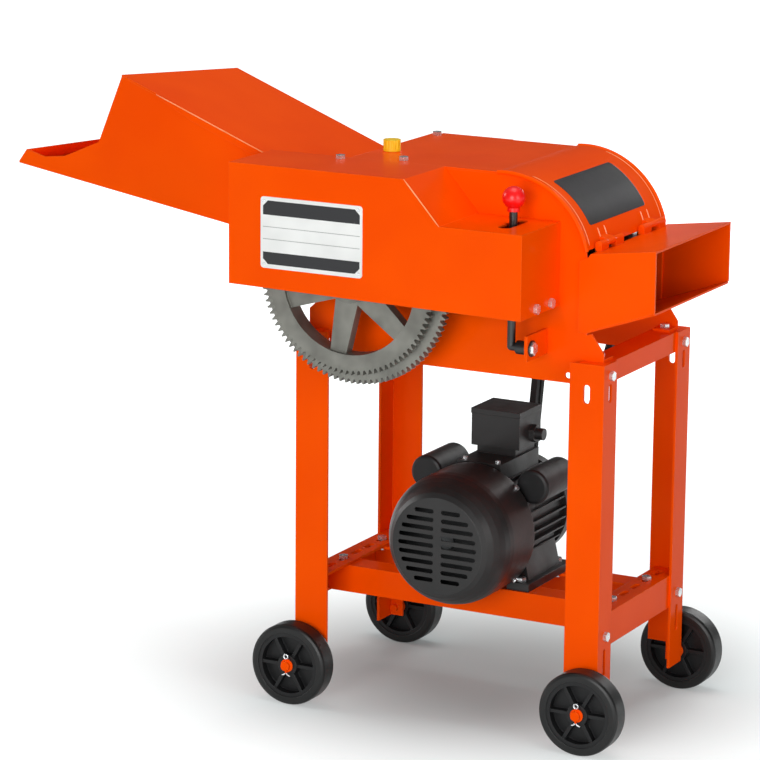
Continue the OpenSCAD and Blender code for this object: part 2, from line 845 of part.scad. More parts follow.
module gear_cover() color(paint) shifted() {
    slot_y = lever_y - 1;
    difference() {
        along_y(guard_front, -body_y) guard_outline(0);
        along_y(guard_front + sheet, 1 - body_y) guard_outline(sheet);
        translate([lever_x, slot_y, guard_step - sheet - 1])
            linear_extrude(sheet + 2) rotate(90) slot_outline(72, 20);
        for (y = bracket_y) {
            rod_x(y, right_bolt_z, guard_right - sheet - 1, guard_right + 1, hole_r);
            rod_x(y, left_bolt_z, -guard_left - 1, sheet - guard_left + 1, hole_r);
        }
        rod_z(top_bracket_x, top_bracket_y, plate_top - 1, top_z + 1, hole_r);
    }
}

module nameplate() color("#E8E8E6") shifted() translate([plate_x, 0, plate_z])
    along_y(guard_front - plate_t, guard_front) {
        translate([plate_r, 0]) square([plate_l - 2 * plate_r, plate_h]);
        translate([0, plate_r]) square([plate_l, plate_h - 2 * plate_r]);
        for (x = [plate_r, plate_l - plate_r], z = [plate_r, plate_h - plate_r]) {
            translate([x, z]) circle(plate_r);
        }
    }

module cover_brackets() color(paint) shifted() {
    difference() {
        union() {
            block(right_in - bracket_t, right_in, bracket_end, -body_y, right_bolt_z - 8, right_bolt_z + 16);
            block(left_in, left_in + bracket_t, bracket_end, -body_y, left_bolt_z - 12, left_bolt_z + 12);
            block(top_bracket_x - 10, top_bracket_x + 30, -body_y - 32, -body_y,
                plate_top - bracket_t, plate_top);
        }
        for (y = bracket_y) {
            rod_x(y, right_bolt_z, 0, guard_right, hole_r);
            rod_x(y, left_bolt_z, -guard_left, 0, hole_r);
        }
        rod_z(top_bracket_x, top_bracket_y, plate_top - bracket_t - 1, plate_top + 1, hole_r);
    }
}

module cover_bolts() color(zinc) shifted() {
    for (y = bracket_y) {
        bolt_x(y, right_bolt_z, right_in - bracket_t, guard_right);
        mirror([1, 0, 0]) bolt_x(y, left_bolt_z, -left_in - bracket_t, guard_left);
    }
    bolt_z(top_bracket_x, top_bracket_y, plate_top - bracket_t, top_z);
    for (x = [rivet_inset, plate_l - rivet_inset], z = [rivet_inset, plate_h - rivet_inset]) {
        rod_y(plate_x + x, plate_z + z, y_front, y_front + rivet_h, rivet_r);
    }
}

module filler_cap() color("#FFC80A") shifted() translate([cap_x, cap_y, top_z]) {
    translate([0, 0, -12]) cylinder(h = 13, r = cap_r);
    difference() {
        translate([0, 0, 0.3]) cylinder(h = 17, r = cap_r + 5);
        for (i = [0:11]) {
            rotate(i * 30) translate([cap_r + 5.8, 0, 4]) cylinder(h = 14, r = 2, $fn = 24);
        }
    }
}

// lever
module lever_lug() color(paint) shifted() {
    block(lug_x, lug_x + lug_t, lever_y - 14, -body_y, pivot_z - 17, pivot_z + 20);
    rod_x(lever_y, pivot_z, lug_x - 8, lug_x + lug_t, stud_r);
    hex_x(lever_y, pivot_z, lug_x + lug_t, lug_x + lug_t + head_h, head_af + 3);
}

module lever_rod() color(black) shifted() {
    rod_z(lever_x, lever_y, pivot_z, knob_z - 7, lever_r);
    translate([lever_x, lever_y, pivot_z]) sphere(lever_r);
    difference() {
        union() {
            rod_x(lever_y, pivot_z, lever_x, lug_x - 14, lever_r);
            rod_x(lever_y, pivot_z, lug_x - 17, lug_x - gap, stud_r + 5);
        }
        rod_x(lever_y, pivot_z, lug_x - 9, lug_x, stud_r + fit);
    }
    rod_x(lever_y, rotor_z, rotor_x + groove_r + gap, lever_x, shoe_r);
}

module lever_knob() color("#E01010") shifted() translate([lever_x, lever_y, knob_z]) {
    difference() {
        union() {
            sphere(knob_r);
            translate([0, 0, -knob_r - 3]) cylinder(h = 8, r = lever_r + 3);
        }
        translate([0, 0, -knob_r - 4]) cylinder(h = knob_r - 3, r = lever_r);
    }
}

// rotor
module flange_bearing(x, z, bore, flange_r) {
    difference() {
        union() {
            rod_y(x, z, body_y, body_y + 10, flange_r);
            rod_y(x, z, body_y, body_y + bearing_l - 4, flange_r - 11);
        }
        rod_y(x, z, body_y - 1, body_y + bearing_l, bore + fit);
    }
}

module shaft_bearings() color(iron) shifted() both_y() {
    flange_bearing(rotor_x, rotor_z, shaft_r, shaft_r + 30);
    flange_bearing(feed_x, feed_z, feed_shaft_r, feed_shaft_r + 20);
}

module main_shaft() color(steel) shifted() {
    rod_y(rotor_x, rotor_z, -body_y - 113, shaft_end, shaft_r);
    block(rotor_x - key_w / 2, rotor_x + key_w / 2, -body_y - 109, -body_y - 40, rotor_z, rotor_z + key_r);
}

module rotor_discs() color(iron) shifted() translate([rotor_x, 0, rotor_z]) {
    end = in_y - 11;
    difference() {
        union() {
            rod_y(0, 0, -end, end, shaft_r + 13);
            for (y = [-end, -4, end - 8]) {
                rod_y(0, 0, y, y + 8, disc_r);
            }
            along_y(-end, end) for (i = [0:knives_n - 1]) {
                rotate(i * 360 / knives_n) translate([bar_in, -bar_t / 2]) square([bar_out - bar_in, bar_t]);
            }
        }
        rod_y(0, 0, -end - 1, end + 1, shaft_r + fit);
        knife_holes() cylinder(h = bar_t + 2, r = hole_r);
    }
}

// places of the knife bolts, with the bar's back face at 1 and the knife's side up
module knife_holes() {
    for (i = [0:knives_n - 1], y = knife_bolt_y) {
        rotate([0, -i * 360 / knives_n, 0]) translate([knife_bolt_r, y, -bar_t / 2 - 1]) children();
    }
}

module knives() color(steel) shifted() translate([rotor_x, 0, rotor_z]) {
    end = in_y - 5;
    difference() {
        along_y(-end, end) for (i = [0:knives_n - 1]) {
            rotate(i * 360 / knives_n) translate([0, bar_t / 2]) polygon([[knife_in, 0], [knife_r - 5, 0],
                [knife_r, knife_t - 1], [knife_r, knife_t], [knife_in, knife_t]]);
        }
        knife_holes() translate([0, 0, bar_t]) cylinder(h = knife_t + 3, r = hole_r);
    }
}

module knife_bolts() color(zinc) shifted() translate([rotor_x, 0, rotor_z]) knife_holes() {
    translate([0, 0, 1 - head_h]) hexagon(head_h, head_af);
    translate([0, 0, 1]) cylinder(h = bar_t + knife_t, r = bolt_r);
    translate([0, 0, bar_t + knife_t + 1]) hexagon(head_h, head_af);
}

// a two-groove pulley, its inner face at pulley_y
module pulley(x, z, r, bore) {
    half = belt_w / 2 + 0.4;
    turned_y(x, z, pulley_y) difference() {
        translate([bore + fit, 0]) square([r - bore - fit, pulley_w]);
        for (y = [groove_pitch / 2, groove_pitch * 3 / 2]) {
            polygon([[r - groove_depth, y - half], [r + 1, y - half - 1.5], [r + 1, y + half + 1.5],
                [r - groove_depth, y + half]]);
        }
    }
}

module driven_pulley() color(iron) shifted() pulley(rotor_x, rotor_z, driven_d / 2, shaft_r);

module drive_pinion() color(steel) shifted() {
    back = lever_y + groove_w / 2 + 2.5;
    front = pinion_y - pinion_w;
    difference() {
        union() {
            translate([rotor_x, 0, rotor_z]) along_y(front, pinion_y)
                rotate(mesh_a + 180 + 180 / pinion_teeth) gear_outline(pinion_teeth, gear_m, tooth_thin);
            rod_y(rotor_x, rotor_z, front - 4, back, hub_r);
        }
        rod_y(rotor_x, rotor_z, front - 5, back + 1, shaft_r + fit);
        block(rotor_x - key_w / 2 - gap, rotor_x + key_w / 2 + gap, front - 5, back + 1,
            rotor_z, rotor_z + key_r + gap);
        turned_y(rotor_x, rotor_z, lever_y - groove_w / 2) translate([groove_r, 0]) square([hub_r, groove_w]);
    }
}

// feed rollers
module roller(z, y0, y1) {
    groove = 6;
    difference() {
        rod_y(feed_x, z, -roller_end, roller_end, roller_r);
        for (i = [0:11]) {
            translate([feed_x, 0, z]) rotate([0, i * 30 + 15, 0])
                block(roller_r - 5, roller_r + 5, -in_y, in_y, -groove / 2, groove / 2);
        }
    }
    rod_y(feed_x, z, y0, y1, feed_shaft_r);
}

module lower_roller() color(steel) shifted() roller(feed_z, gear_front - 3, sync_end);

module upper_roller() color(steel) shifted() roller(upper_z, -block_out, sync_end);

module feed_gear() color(iron) shifted() translate([feed_x, 0, feed_z]) {
    inner = gear_m * ring_teeth / 2 - 27;
    rim = gear_m * ring_teeth / 2 - 5;
    difference() {
        union() {
            along_y(gear_y - ring_w, gear_y) rotate(mesh_a) gear_outline(gear_teeth, gear_m, tooth_thin);
            along_y(gear_front, gear_front + ring_w) gear_outline(ring_teeth, gear_m, tooth_thin);
            rod_y(0, 0, gear_front, gear_y, rim);
        }
        rod_y(0, 0, gear_front - 1, gear_y + 1, inner);
    }
    difference() {
        union() {
            rod_y(0, 0, gear_front - 2, gear_y + 4, feed_shaft_r + 18);
            along_y(gear_front + 6, gear_y - 6) for (i = [0:spokes_n - 1]) {
                rotate(i * 360 / spokes_n + 20)
                    polygon([[20, -19], [inner + 2, -13], [inner + 2, 13], [20, 19]]);
            }
        }
        rod_y(0, 0, gear_front - 3, gear_y + 5, feed_shaft_r + fit);
    }
}

module sync_gear(z, turn) {
    translate([feed_x, 0, z]) difference() {
        along_y(sync_y, sync_y + sync_w) rotate(turn) gear_outline(sync_teeth, sync_m, tooth_thin + 0.2);
        rod_y(0, 0, sync_y - 1, sync_y + sync_w + 1, feed_shaft_r + fit);
    }
}

module lower_sync_gear() color(iron) shifted() sync_gear(feed_z, 90);

module upper_sync_gear() color(iron) shifted() sync_gear(upper_z, 180 / sync_teeth - 90);

module upper_blocks() color(iron) shifted() both_y() difference() {
    block(feed_x - block_w / 2, feed_x + block_w / 2, block_in, block_out,
        upper_z - block_h / 2, upper_z + block_h / 2);
    rod_y(feed_x, upper_z, block_in - 1, block_out + 1, feed_shaft_r + fit);
}

module pressure_springs() color(zinc) shifted() both_y() for (side = [-1, 1]) {
    spring_low = upper_z + block_h / 2 + roller_rise + gap;
    rod_z(feed_x + side * block_w / 4, body_y + 6.5, spring_low, spring_seat, 6);
}

module sync_guard() color(paint) shifted() {
    half = sync_teeth * sync_m / 2 + 18;
    high = max(upper_z + half + roller_rise - 14, spring_seat + tab_t + 5);
    difference() {
        block(feed_x - half, feed_x + half, body_y, sync_y + sync_w + 8, feed_z - half, high);
        block(feed_x - half + 2, feed_x + half - 2, body_y - 1, sync_y + sync_w + 6,
            feed_z - half + 2, high - 2);
    }
}

// motor
module motor_frame() color(black) shifted() translate([motor_x, 0, motor_z]) {
    difference() {
        union() {
            rod_y(0, 0, frame_front, frame_rear, frame_r);
            along_y(frame_front + 4, frame_rear - 4) for (i = [0:ribs_n - 1]) {
                rotate((i + 0.5) * 360 / ribs_n) translate([frame_r - 3, -rib_t / 2])
                    square([rib_r - frame_r + 3, rib_t]);
            }
            block(-pad_half, pad_half, frame_front + 2, motor_y + 60, 40, pad_top);
            block(4 - pad_half, pad_half - 4, motor_y - 12, motor_y + 53, 40, box_z - motor_z);
            for (side = [-1, 1]) {
                foot = side * foot_gauge / 2;
                block(foot - 18, foot + 18, foot_front - 13, foot_rear + 13, -shaft_h, foot_h - shaft_h);
                along_y(foot_front + 9, foot_rear - 9) polygon([[foot - side * 26, foot_h - shaft_h - 1],
                    [foot + side * 8, foot_h - shaft_h - 1], [foot - side * 5, -24], [foot - side * 26, -32]]);
            }
        }
        rod_y(0, 0, frame_front - 20, frame_rear + 20, bore_r);
        for (side = [-1, 1], y = [foot_front, foot_rear]) {
            rod_z(side * foot_gauge / 2, y, -shaft_h - 1, foot_h - shaft_h + 1, hole_r);
        }
    }
}

module motor_bells() color(black) shifted() {
    difference() {
        union() {
            rod_y(motor_x, motor_z, frame_front - bell_l, frame_front, bell_r);
            rod_y(motor_x, motor_z, frame_front - bell_l, cowl_rear, cowl_r - 2);
        }
        rod_y(motor_x, motor_z, frame_front - bell_l - 1, frame_front + 1, motor_r + fit);
    }
    difference() {
        union() {
            rod_y(motor_x, motor_z, frame_rear, frame_rear + 18, rib_r);
            rod_y(motor_x, motor_z, frame_rear, frame_rear + 26, motor_r + 18);
        }
        rod_y(motor_x, motor_z, frame_rear - 1, frame_rear + 27, motor_r + fit);
    }
}

// point of the cowl's rounded shoulder at angle a, inset by t
function shoulder_point(a, t) =
    [face_r + (cowl_r - face_r) * sin(a) - t, shoulder * pow(1 - cos(a), 0.7) + t];

module fan_cowl() color(black) shifted() {
    step = 13;
    wall = 2;
    slots_r = face_r - 9;
    difference() {
        turned_y(motor_x, motor_z, cowl_front) polygon(concat([[0, 0]],
            [for (a = [0:15:90]) shoulder_point(a, 0)],
            [[cowl_r, cowl_l], [cowl_r - wall, cowl_l]],
            [for (a = [90:-15:0]) shoulder_point(a, wall)],
            [[0, wall]]));
        for (row = [-4:4], side = [-1, 1]) {
            reach = sqrt(slots_r * slots_r - pow(row * step, 2));
            translate([motor_x + side * (reach + 6) / 2, 0, motor_z + row * step])
                along_y(cowl_front - 1, cowl_front + 3) slot_outline(reach - 6, 6.5);
        }
    }
}

module terminal_box() color(black) shifted() {
    front = motor_y - 16;
    back = motor_y + 57;
    lid = 8;
    rim = 0.8;
    half = box_w / 2;
    gland_x = motor_x + half;
    gland_z = box_z + 18;
    block(motor_x - half, motor_x + half, front, back, box_z, box_z + box_h - lid);
    block(motor_x - half - rim, motor_x + half + rim, front - rim, back + rim,
        box_z + box_h - lid, box_z + box_h);
    hex_x(motor_y + 28, gland_z, gland_x, gland_x + 8, 24);
    rod_x(motor_y + 28, gland_z, gland_x, gland_x + 20, 9);
}

module capacitors() color(black) shifted() {
    reach = norm(cap_place) - cap_d / 2 + 3;
    can_r = cap_d / 2;
    can_l = 100;
    for (side = [-1, 1]) {
        turned_y(motor_x + side * cap_place[0], motor_z + cap_place[1], motor_y - 71)
            polygon([[0, 0], [can_r - 5, 0], [can_r - 1.5, 1.5], [can_r, 5], [can_r, can_l - 5],
                [can_r - 1.5, can_l - 1.5], [can_r - 5, can_l], [0, can_l]]);
        translate([motor_x, 0, motor_z]) rotate([0, side > 0 ? -atan2(cap_place[1], cap_place[0])
            : 180 + atan2(cap_place[1], cap_place[0]), 0])
            block(rib_r, reach, motor_y - 40, motor_y - 10, -14, 14);
    }
}

module motor_bolts() color(zinc) shifted() {
    for (side = [-1, 1], y = [foot_front, foot_rear]) {
        bolt_z(motor_x + side * foot_gauge / 2, y, rail_under, rail_top + foot_h);
    }
    for (i = [0:3]) {
        translate([motor_x, cowl_rear - 5, motor_z]) rotate([0, i * 90 + 45, 0])
            translate([0, 0, cowl_r]) cylinder(h = 3, r = 4, $fn = 24);
    }
    for (side = [-1, 1]) {
        rod_z(motor_x + side * (pad_half - 9), frame_front + 11, motor_z + pad_top, motor_z + pad_top + 4, 4);
    }
}

module motor_shaft() color(steel) shifted() {
    rod_y(motor_x, motor_z, cowl_front + 30, pulley_y + pulley_w + 4, motor_r);
    rod_y(motor_x, motor_z, motor_y - 50, motor_y + 50, bore_r - 1);
}

module motor_fan() color(black) shifted() {
    y = cowl_front + 38;
    difference() {
        union() {
            rod_y(motor_x, motor_z, y - 4, y, cowl_r - 18);
            rod_y(motor_x, motor_z, y - 4, y + 40, motor_r + 10);
            for (i = [0:6]) {
                translate([motor_x, 0, motor_z]) rotate([0, i * 360 / 7, 0])
                    block(motor_r + 6, cowl_r - 20, y - 1, y + 32, -1.5, 1.5);
            }
        }
        rod_y(motor_x, motor_z, y - 5, y + 41, motor_r + fit);
    }
}

module motor_pulley() color(iron) shifted() pulley(motor_x, motor_z, drive_d / 2, motor_r);

// area inside a belt that runs at radius r1 on the motor pulley and r2 on the driven one
module belt_area(r1, r2) {
    hull() {
        translate([motor_x, motor_z]) circle(r1);
        translate([rotor_x, rotor_z]) circle(r2);
    }
}

module drive_belts() color("#1C1C1C") shifted() {
    r1 = drive_d / 2 - groove_depth + belt_gap;
    r2 = driven_d / 2 - groove_depth + belt_gap;
    for (y = [groove_pitch / 2, groove_pitch * 3 / 2]) {
        along_y(pulley_y + y - belt_w / 2, pulley_y + y + belt_w / 2) difference() {
            belt_area(r1 + belt_t, r2 + belt_t);
            belt_area(r1, r2);
        }
    }
}

front_legs();
rear_legs();
top_beams();
side_rails();
motor_rails();
frame_bolts();
wheel_axles();
hub_front_left();
hub_front_right();
hub_rear_left();
hub_rear_right();
tyre_front_left();
tyre_front_right();
tyre_rear_left();
tyre_rear_right();
front_side_plate();
rear_side_plate();
top_sheet();
top_bolts();
drum_concave();
knife_table();
bed_knife();
chute();
rotor_cover();
hopper_tray();
hopper_hood();
gear_cover();
nameplate();
cover_brackets();
cover_bolts();
filler_cap();
lever_lug();
lever_rod();
lever_knob();
shaft_bearings();
main_shaft();
rotor_discs();
knives();
knife_bolts();
driven_pulley();
drive_pinion();
lower_roller();
feed_gear();
lower_sync_gear();
upper_roller();
upper_sync_gear();
upper_blocks();
pressure_springs();
sync_guard();
motor_frame();
motor_bells();
fan_cowl();
terminal_box();
capacitors();
motor_bolts();
motor_shaft();
motor_fan();
motor_pulley();
drive_belts();
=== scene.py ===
"""Studio scene of an electric chaff cutter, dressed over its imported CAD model."""

import logging
import math
from dataclasses import dataclass, field
from enum import Enum
from typing import Any

import bmesh
import bpy
from mathutils import Matrix, Vector


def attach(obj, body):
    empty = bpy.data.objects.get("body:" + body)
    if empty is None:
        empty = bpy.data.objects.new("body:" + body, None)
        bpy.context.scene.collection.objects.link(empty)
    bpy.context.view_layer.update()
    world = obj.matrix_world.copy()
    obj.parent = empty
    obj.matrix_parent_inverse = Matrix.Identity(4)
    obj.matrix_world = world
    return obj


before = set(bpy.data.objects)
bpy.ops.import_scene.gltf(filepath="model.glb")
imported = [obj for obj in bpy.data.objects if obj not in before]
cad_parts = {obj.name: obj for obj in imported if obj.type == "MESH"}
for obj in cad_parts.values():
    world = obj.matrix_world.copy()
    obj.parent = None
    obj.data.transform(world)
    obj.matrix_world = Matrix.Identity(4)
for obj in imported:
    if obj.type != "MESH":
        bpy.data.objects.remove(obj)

Tree = bpy.types.NodeTree
Socket = bpy.types.NodeSocket
Mesh = bmesh.types.BMesh
Colour = tuple[float, float, float, float]
Point = tuple[float, float, float]
Span = tuple[float, float]
Sum = tuple[str, str, str | float, str | float]  # result, kind and two terms

LOG = logging.getLogger("chaff_cutter")
IMAGE_SIDE = 760  # pixels
STAND_CENTRE = Vector((217.5, 26.75, 0.0))  # mm, the stand's middle in the model's own frame
ACROSS = Vector((0.0, 1.0, 0.0))  # from the machine's front to its rear
WHITE: Colour = (1.0, 1.0, 1.0, 1.0)
CORNERS = ("front_left", "front_right", "rear_left", "rear_right")


def linear(code: str) -> Colour:
    """Turns an sRGB hex colour into the linear one that a shader takes.

    Args:
        code: Six hex digits with a leading hash.

    Returns:
        Red, green, blue and a full alpha, all linear.
    """
    parts = [int(code[i:i + 2], 16) / 255 for i in (1, 3, 5)]
    red, green, blue = (c / 12.92 if c <= 0.04045 else ((c + 0.055) / 1.055) ** 2.4 for c in parts)
    return (red, green, blue, 1.0)


def per_metre(size_mm: float) -> float:
    """Gives the texture scale whose features are size_mm across."""
    return 1000.0 / size_mm


def place(x: float, y: float, z: float) -> Vector:
    """Turns millimetres from the stand's middle into metres in the model's frame."""
    return (Vector((x, y, z)) + STAND_CENTRE) / 1000.0


def add_node(tree: Tree, kind: str, settings: dict[str, Any] | None = None, **inputs: Any) -> bpy.types.Node:
    """Adds one node with its settings and links.

    Args:
        tree: The node tree that takes it.
        kind: The node's Blender type name.
        settings: Properties of the node itself.
        inputs: Values or sockets for its inputs, by name with underscores for spaces, or in0, in1 by number.

    Returns:
        The new node.
    """
    node = tree.nodes.new(kind)
    for name, value in (settings or {}).items():
        setattr(node, name, value)
    for name, value in inputs.items():
        numbered = name[:2] == "in" and name[2:].isdigit()
        socket = node.inputs[int(name[2:])] if numbered else node.inputs[name.replace("_", " ")]
        if isinstance(value, Socket):
            tree.links.new(value, socket)
        else:
            socket.default_value = value
    return node


def bare_tree(owner: bpy.types.Material | bpy.types.World) -> Tree:
    """Switches on the nodes of a material or world and clears them.

    Args:
        owner: The material or world.

    Returns:
        Its empty node tree.
    """
    owner.use_nodes = True
    owner.node_tree.nodes.clear()
    return owner.node_tree


class Grain(Enum):
    """How a surface was made, which sets the pattern of its relief."""

    PEEL = "sprayed or powdered paint, with a shallow orange peel"
    CAST = "sand casting, with a rough skin"
    TURNED = "turned on a lathe, with rings round its axis"
    GROUND = "ground flat, with streaks along the blade"
    MOULDED = "moulded plastic, with an even etched skin"
    WOVEN = "rubber with a wrapped fabric"


NOISE_DETAIL = {Grain.PEEL: 1.0, Grain.CAST: 6.0, Grain.GROUND: 2.0, Grain.MOULDED: 3.0}  # finer layers
NOISE_FALL = 0.6  # how much of each finer layer shows
WAVE_BAND = 0.314  # how far apart a wave's bands are at scale 1
WAVE_STRAY = 0.4  # how far a wave's bands stray
STREAK = (1.0, 0.06, 1.0)  # draws a noise out along the blade
PATCH_LEVELS = (0.25, 0.75)  # noise levels between which the colour turns to the shade
SMEAR_LEVELS = (0.3, 0.7)  # noise levels between which the roughness turns from its least to its most
SMEAR_SHARE = 0.6  # a smear's size as a share of a colour patch's
LEAST_ROUGHNESS = 0.02
# The paler edge colour is a painted highlight; these two set where it shows and how much of it shows.
EDGE_TURN = (0.985, 0.8)  # cosine of the normal's turn where an edge starts to show and where it shows most
EDGE_HIGHLIGHT_SHARE = 0.55  # the most of the edge's colour that shows


@dataclass(frozen=True)
class Finish:
    """One real finish: its colours, how it shines and the pattern of its surface."""

    name: str
    slot: str
    colour: str
    shade: str
    grain: Grain
    grain_mm: float
    relief_mm: float
    mottle_mm: float
    roughness: float
    spread: float = 0.08
    metallic: float = 0.0
    ior: float = 1.5
    specular: float = 0.5
    # colour of the painted highlight along edges; empty where there is none
    edge: str = ""
    edge_mm: float = 1.2

    def relief(self, tree: Tree, where: Socket) -> Socket:
        """Draws the pattern of the surface's relief.

        Args:
            tree: The material's node tree.
            where: Coordinates in metres.

        Returns:
            The socket that carries the height, from 0 to 1.
        """
        scale = per_metre(self.grain_mm)
        if self.grain in NOISE_DETAIL:
            if self.grain is Grain.GROUND:
                where = add_node(tree, "ShaderNodeMapping", Vector=where, Scale=STREAK).outputs[0]
            return add_node(tree, "ShaderNodeTexNoise", Vector=where, Scale=scale, Roughness=NOISE_FALL,
                            Detail=NOISE_DETAIL[self.grain]).outputs["Fac"]
        bands = []
        for axis in "Y" if self.grain is Grain.TURNED else "YZ":
            wave = add_node(tree, "ShaderNodeTexWave", {"wave_type": "BANDS", "bands_direction": axis},
                            Vector=where, Scale=WAVE_BAND * scale, Distortion=WAVE_STRAY, Detail=1.0)
            bands.append(wave.outputs["Fac"])
        if len(bands) == 1:
            return bands[0]
        return add_node(tree, "ShaderNodeMath", {"operation": "MAXIMUM"}, in0=bands[0],
                        in1=bands[1]).outputs[0]

    def colours(self, tree: Tree, where: Socket, rounded: Socket) -> Socket:
        """Mixes the finish's two colours in patches, with a painted highlight along edges where it has an
        edge colour.

        Args:
            tree: The material's node tree.
            where: Coordinates in metres.
            rounded: The normal as if edges were rounded.

        Returns:
            The socket that carries the colour.
        """
        patches = add_node(tree, "ShaderNodeTexNoise", Vector=where, Scale=per_metre(self.mottle_mm),
                           Detail=2.0, Roughness=0.5)
        spread = add_node(tree, "ShaderNodeMapRange", {"interpolation_type": "SMOOTHSTEP"},
                          Value=patches.outputs["Fac"], From_Min=PATCH_LEVELS[0], From_Max=PATCH_LEVELS[1])
        colour = add_node(tree, "ShaderNodeMix", {"data_type": "RGBA"}, Factor=spread.outputs[0],
                          in6=linear(self.colour), in7=linear(self.shade)).outputs[2]
        if not self.edge:
            return colour
        # The paler line along edges is a painted highlight where edges would catch the light; on the powder
        # coat it is partly the thin powder at the edge.
        flat = add_node(tree, "ShaderNodeNewGeometry").outputs["Normal"]
        turn = add_node(tree, "ShaderNodeVectorMath", {"operation": "DOT_PRODUCT"}, in0=rounded, in1=flat)
        wear = add_node(tree, "ShaderNodeMapRange", Value=turn.outputs["Value"], From_Min=EDGE_TURN[0],
                        From_Max=EDGE_TURN[1])
        share = add_node(tree, "ShaderNodeMath", {"operation": "MULTIPLY"}, in0=wear.outputs[0],
                         in1=EDGE_HIGHLIGHT_SHARE)
        return add_node(tree, "ShaderNodeMix", {"data_type": "RGBA"}, Factor=share.outputs[0], in6=colour,
                        in7=linear(self.edge)).outputs[2]

    def build(self) -> bpy.types.Material:
        """Makes the finish's material.

        Returns:
            The new material.
        """
        made = bpy.data.materials.new(self.name)
        tree = bare_tree(made)
        where = add_node(tree, "ShaderNodeTexCoord").outputs["Object"]
        rounded = add_node(tree, "ShaderNodeBevel", {"samples": 4}, Radius=self.edge_mm / 1000.0).outputs[0]
        bump = add_node(tree, "ShaderNodeBump", Strength=1.0, Distance=self.relief_mm / 1000.0,
                        Height=self.relief(tree, where), Normal=rounded)
        smears = add_node(tree, "ShaderNodeTexNoise", Vector=where, Detail=5.0, Roughness=0.65,
                          Scale=per_metre(self.mottle_mm * SMEAR_SHARE))
        gloss = add_node(tree, "ShaderNodeMapRange", Value=smears.outputs["Fac"],
                         From_Min=SMEAR_LEVELS[0], From_Max=SMEAR_LEVELS[1],
                         To_Min=max(self.roughness - self.spread, LEAST_ROUGHNESS),
                         To_Max=self.roughness + self.spread)
        shader = add_node(tree, "ShaderNodeBsdfPrincipled", Base_Color=self.colours(tree, where, rounded),
                          Roughness=gloss.outputs[0], Normal=bump.outputs[0], Metallic=self.metallic,
                          IOR=self.ior, Specular_IOR_Level=self.specular)
        add_node(tree, "ShaderNodeOutputMaterial", Surface=shader.outputs[0])
        return made


@dataclass(frozen=True)
class PlatePrint(Finish):
    """White and black print on an aluminium plate: two bars with cut corners, and two rules between them."""

    x_mm: Span = (-251.0, -84.0)
    z_mm: Span = (682.0, 787.0)
    inset_mm: float = 4.0  # bare margin at the plate's sides
    cut_mm: float = 8.0  # how much of a bar's outer corners is cut off
    header_mm: Span = (5.5, 26.5)
    footer_mm: Span = (6.0, 24.0)
    rules_mm: tuple[float, ...] = (44.0, 62.0)
    rule_mm: float = 1.0
    rule_share: float = 0.6
    ink: str = "#17161A"

    def sums(self) -> list[Sum]:
        """Lists the sums that mask the print, from the place on the plate to the share of ink.

        Returns:
            For each sum its result's name, its kind, and two terms: a length in metres or an earlier name.
        """
        wide, high = self.x_mm[1] - self.x_mm[0], self.z_mm[1] - self.z_mm[0]
        middle = place(self.x_mm[0] + wide / 2, 0, 0).x
        steps: list[Sum] = [
            ("off", "SUBTRACT", "x", middle),
            ("side", "ABSOLUTE", "off", 0.0),
            ("margin", "SUBTRACT", wide / 2000, "side"),
            ("rise", "SUBTRACT", "z", self.z_mm[0] / 1000),
            ("drop", "SUBTRACT", high / 1000, "rise"),
            ("inside", "GREATER_THAN", "margin", self.inset_mm / 1000),
        ]
        bars = (("header", "drop", self.header_mm), ("footer", "rise", self.footer_mm))
        for bar, edge, (near, far) in bars:
            steps += [
                ("over", "GREATER_THAN", edge, near / 1000),
                ("under", "LESS_THAN", edge, far / 1000),
                ("band", "MULTIPLY", "over", "under"),
                ("slant", "ADD", edge, "margin"),
                ("corner", "GREATER_THAN", "slant", (near + self.inset_mm + self.cut_mm) / 1000),
                ("band", "MULTIPLY", "band", "corner"),
                (bar, "MULTIPLY", "band", "inside"),
            ]
        steps.append(("ink", "MAXIMUM", "header", "footer"))
        for rule in self.rules_mm:
            steps += [
                ("off", "SUBTRACT", "drop", rule / 1000),
                ("off", "ABSOLUTE", "off", 0.0),
                ("line", "LESS_THAN", "off", self.rule_mm / 2000),
                ("line", "MULTIPLY", "line", "inside"),
                ("line", "MULTIPLY", "line", self.rule_share),
                ("ink", "MAXIMUM", "ink", "line"),
            ]
        return steps

    def colours(self, tree: Tree, where: Socket, rounded: Socket) -> Socket:
        """Lays the printed bars and rules over the white ground.

        Args:
            tree: The material's node tree.
            where: Coordinates in metres.
            rounded: The normal as if edges were rounded.

        Returns:
            The socket that carries the colour.
        """
        ground = super().colours(tree, where, rounded)
        axes = add_node(tree, "ShaderNodeSeparateXYZ", in0=where).outputs
        known: dict[str | float, Socket] = {"x": axes["X"], "z": axes["Z"]}
        for name, kind, first, second in self.sums():
            known[name] = add_node(tree, "ShaderNodeMath", {"operation": kind}, in0=known.get(first, first),
                                   in1=known.get(second, second)).outputs[0]
        return add_node(tree, "ShaderNodeMix", {"data_type": "RGBA"}, Factor=known["ink"], in6=ground,
                        in7=linear(self.ink)).outputs[2]


# Polyester powder coat over sheet steel: deep gloss orange, a shallow peel, and a paler line at each edge: a
# painted highlight, partly the thin powder there. The peel is 2 mm on the machine and drawn at 7 mm, so that
# it shows.
POWDER_COAT = Finish(
    "orange_powder_coat", "orange_paint", "#FF5400", "#F84C00", Grain.PEEL, grain_mm=7.0, relief_mm=0.02,
    mottle_mm=160.0, roughness=0.2, spread=0.04, specular=0.035, edge="#FF7A36", edge_mm=1.4)
# The same powder, paled into a painted highlight for the thin lines along seams, hems, creases and raw edges.
EDGE_HIGHLIGHT_PAINT = Finish(
    "painted_edge_highlight", "orange_paint", "#FFB080", "#FF9C60", Grain.PEEL, grain_mm=7.0, relief_mm=0.02,
    mottle_mm=40.0, roughness=0.3, spread=0.05, specular=0.06)
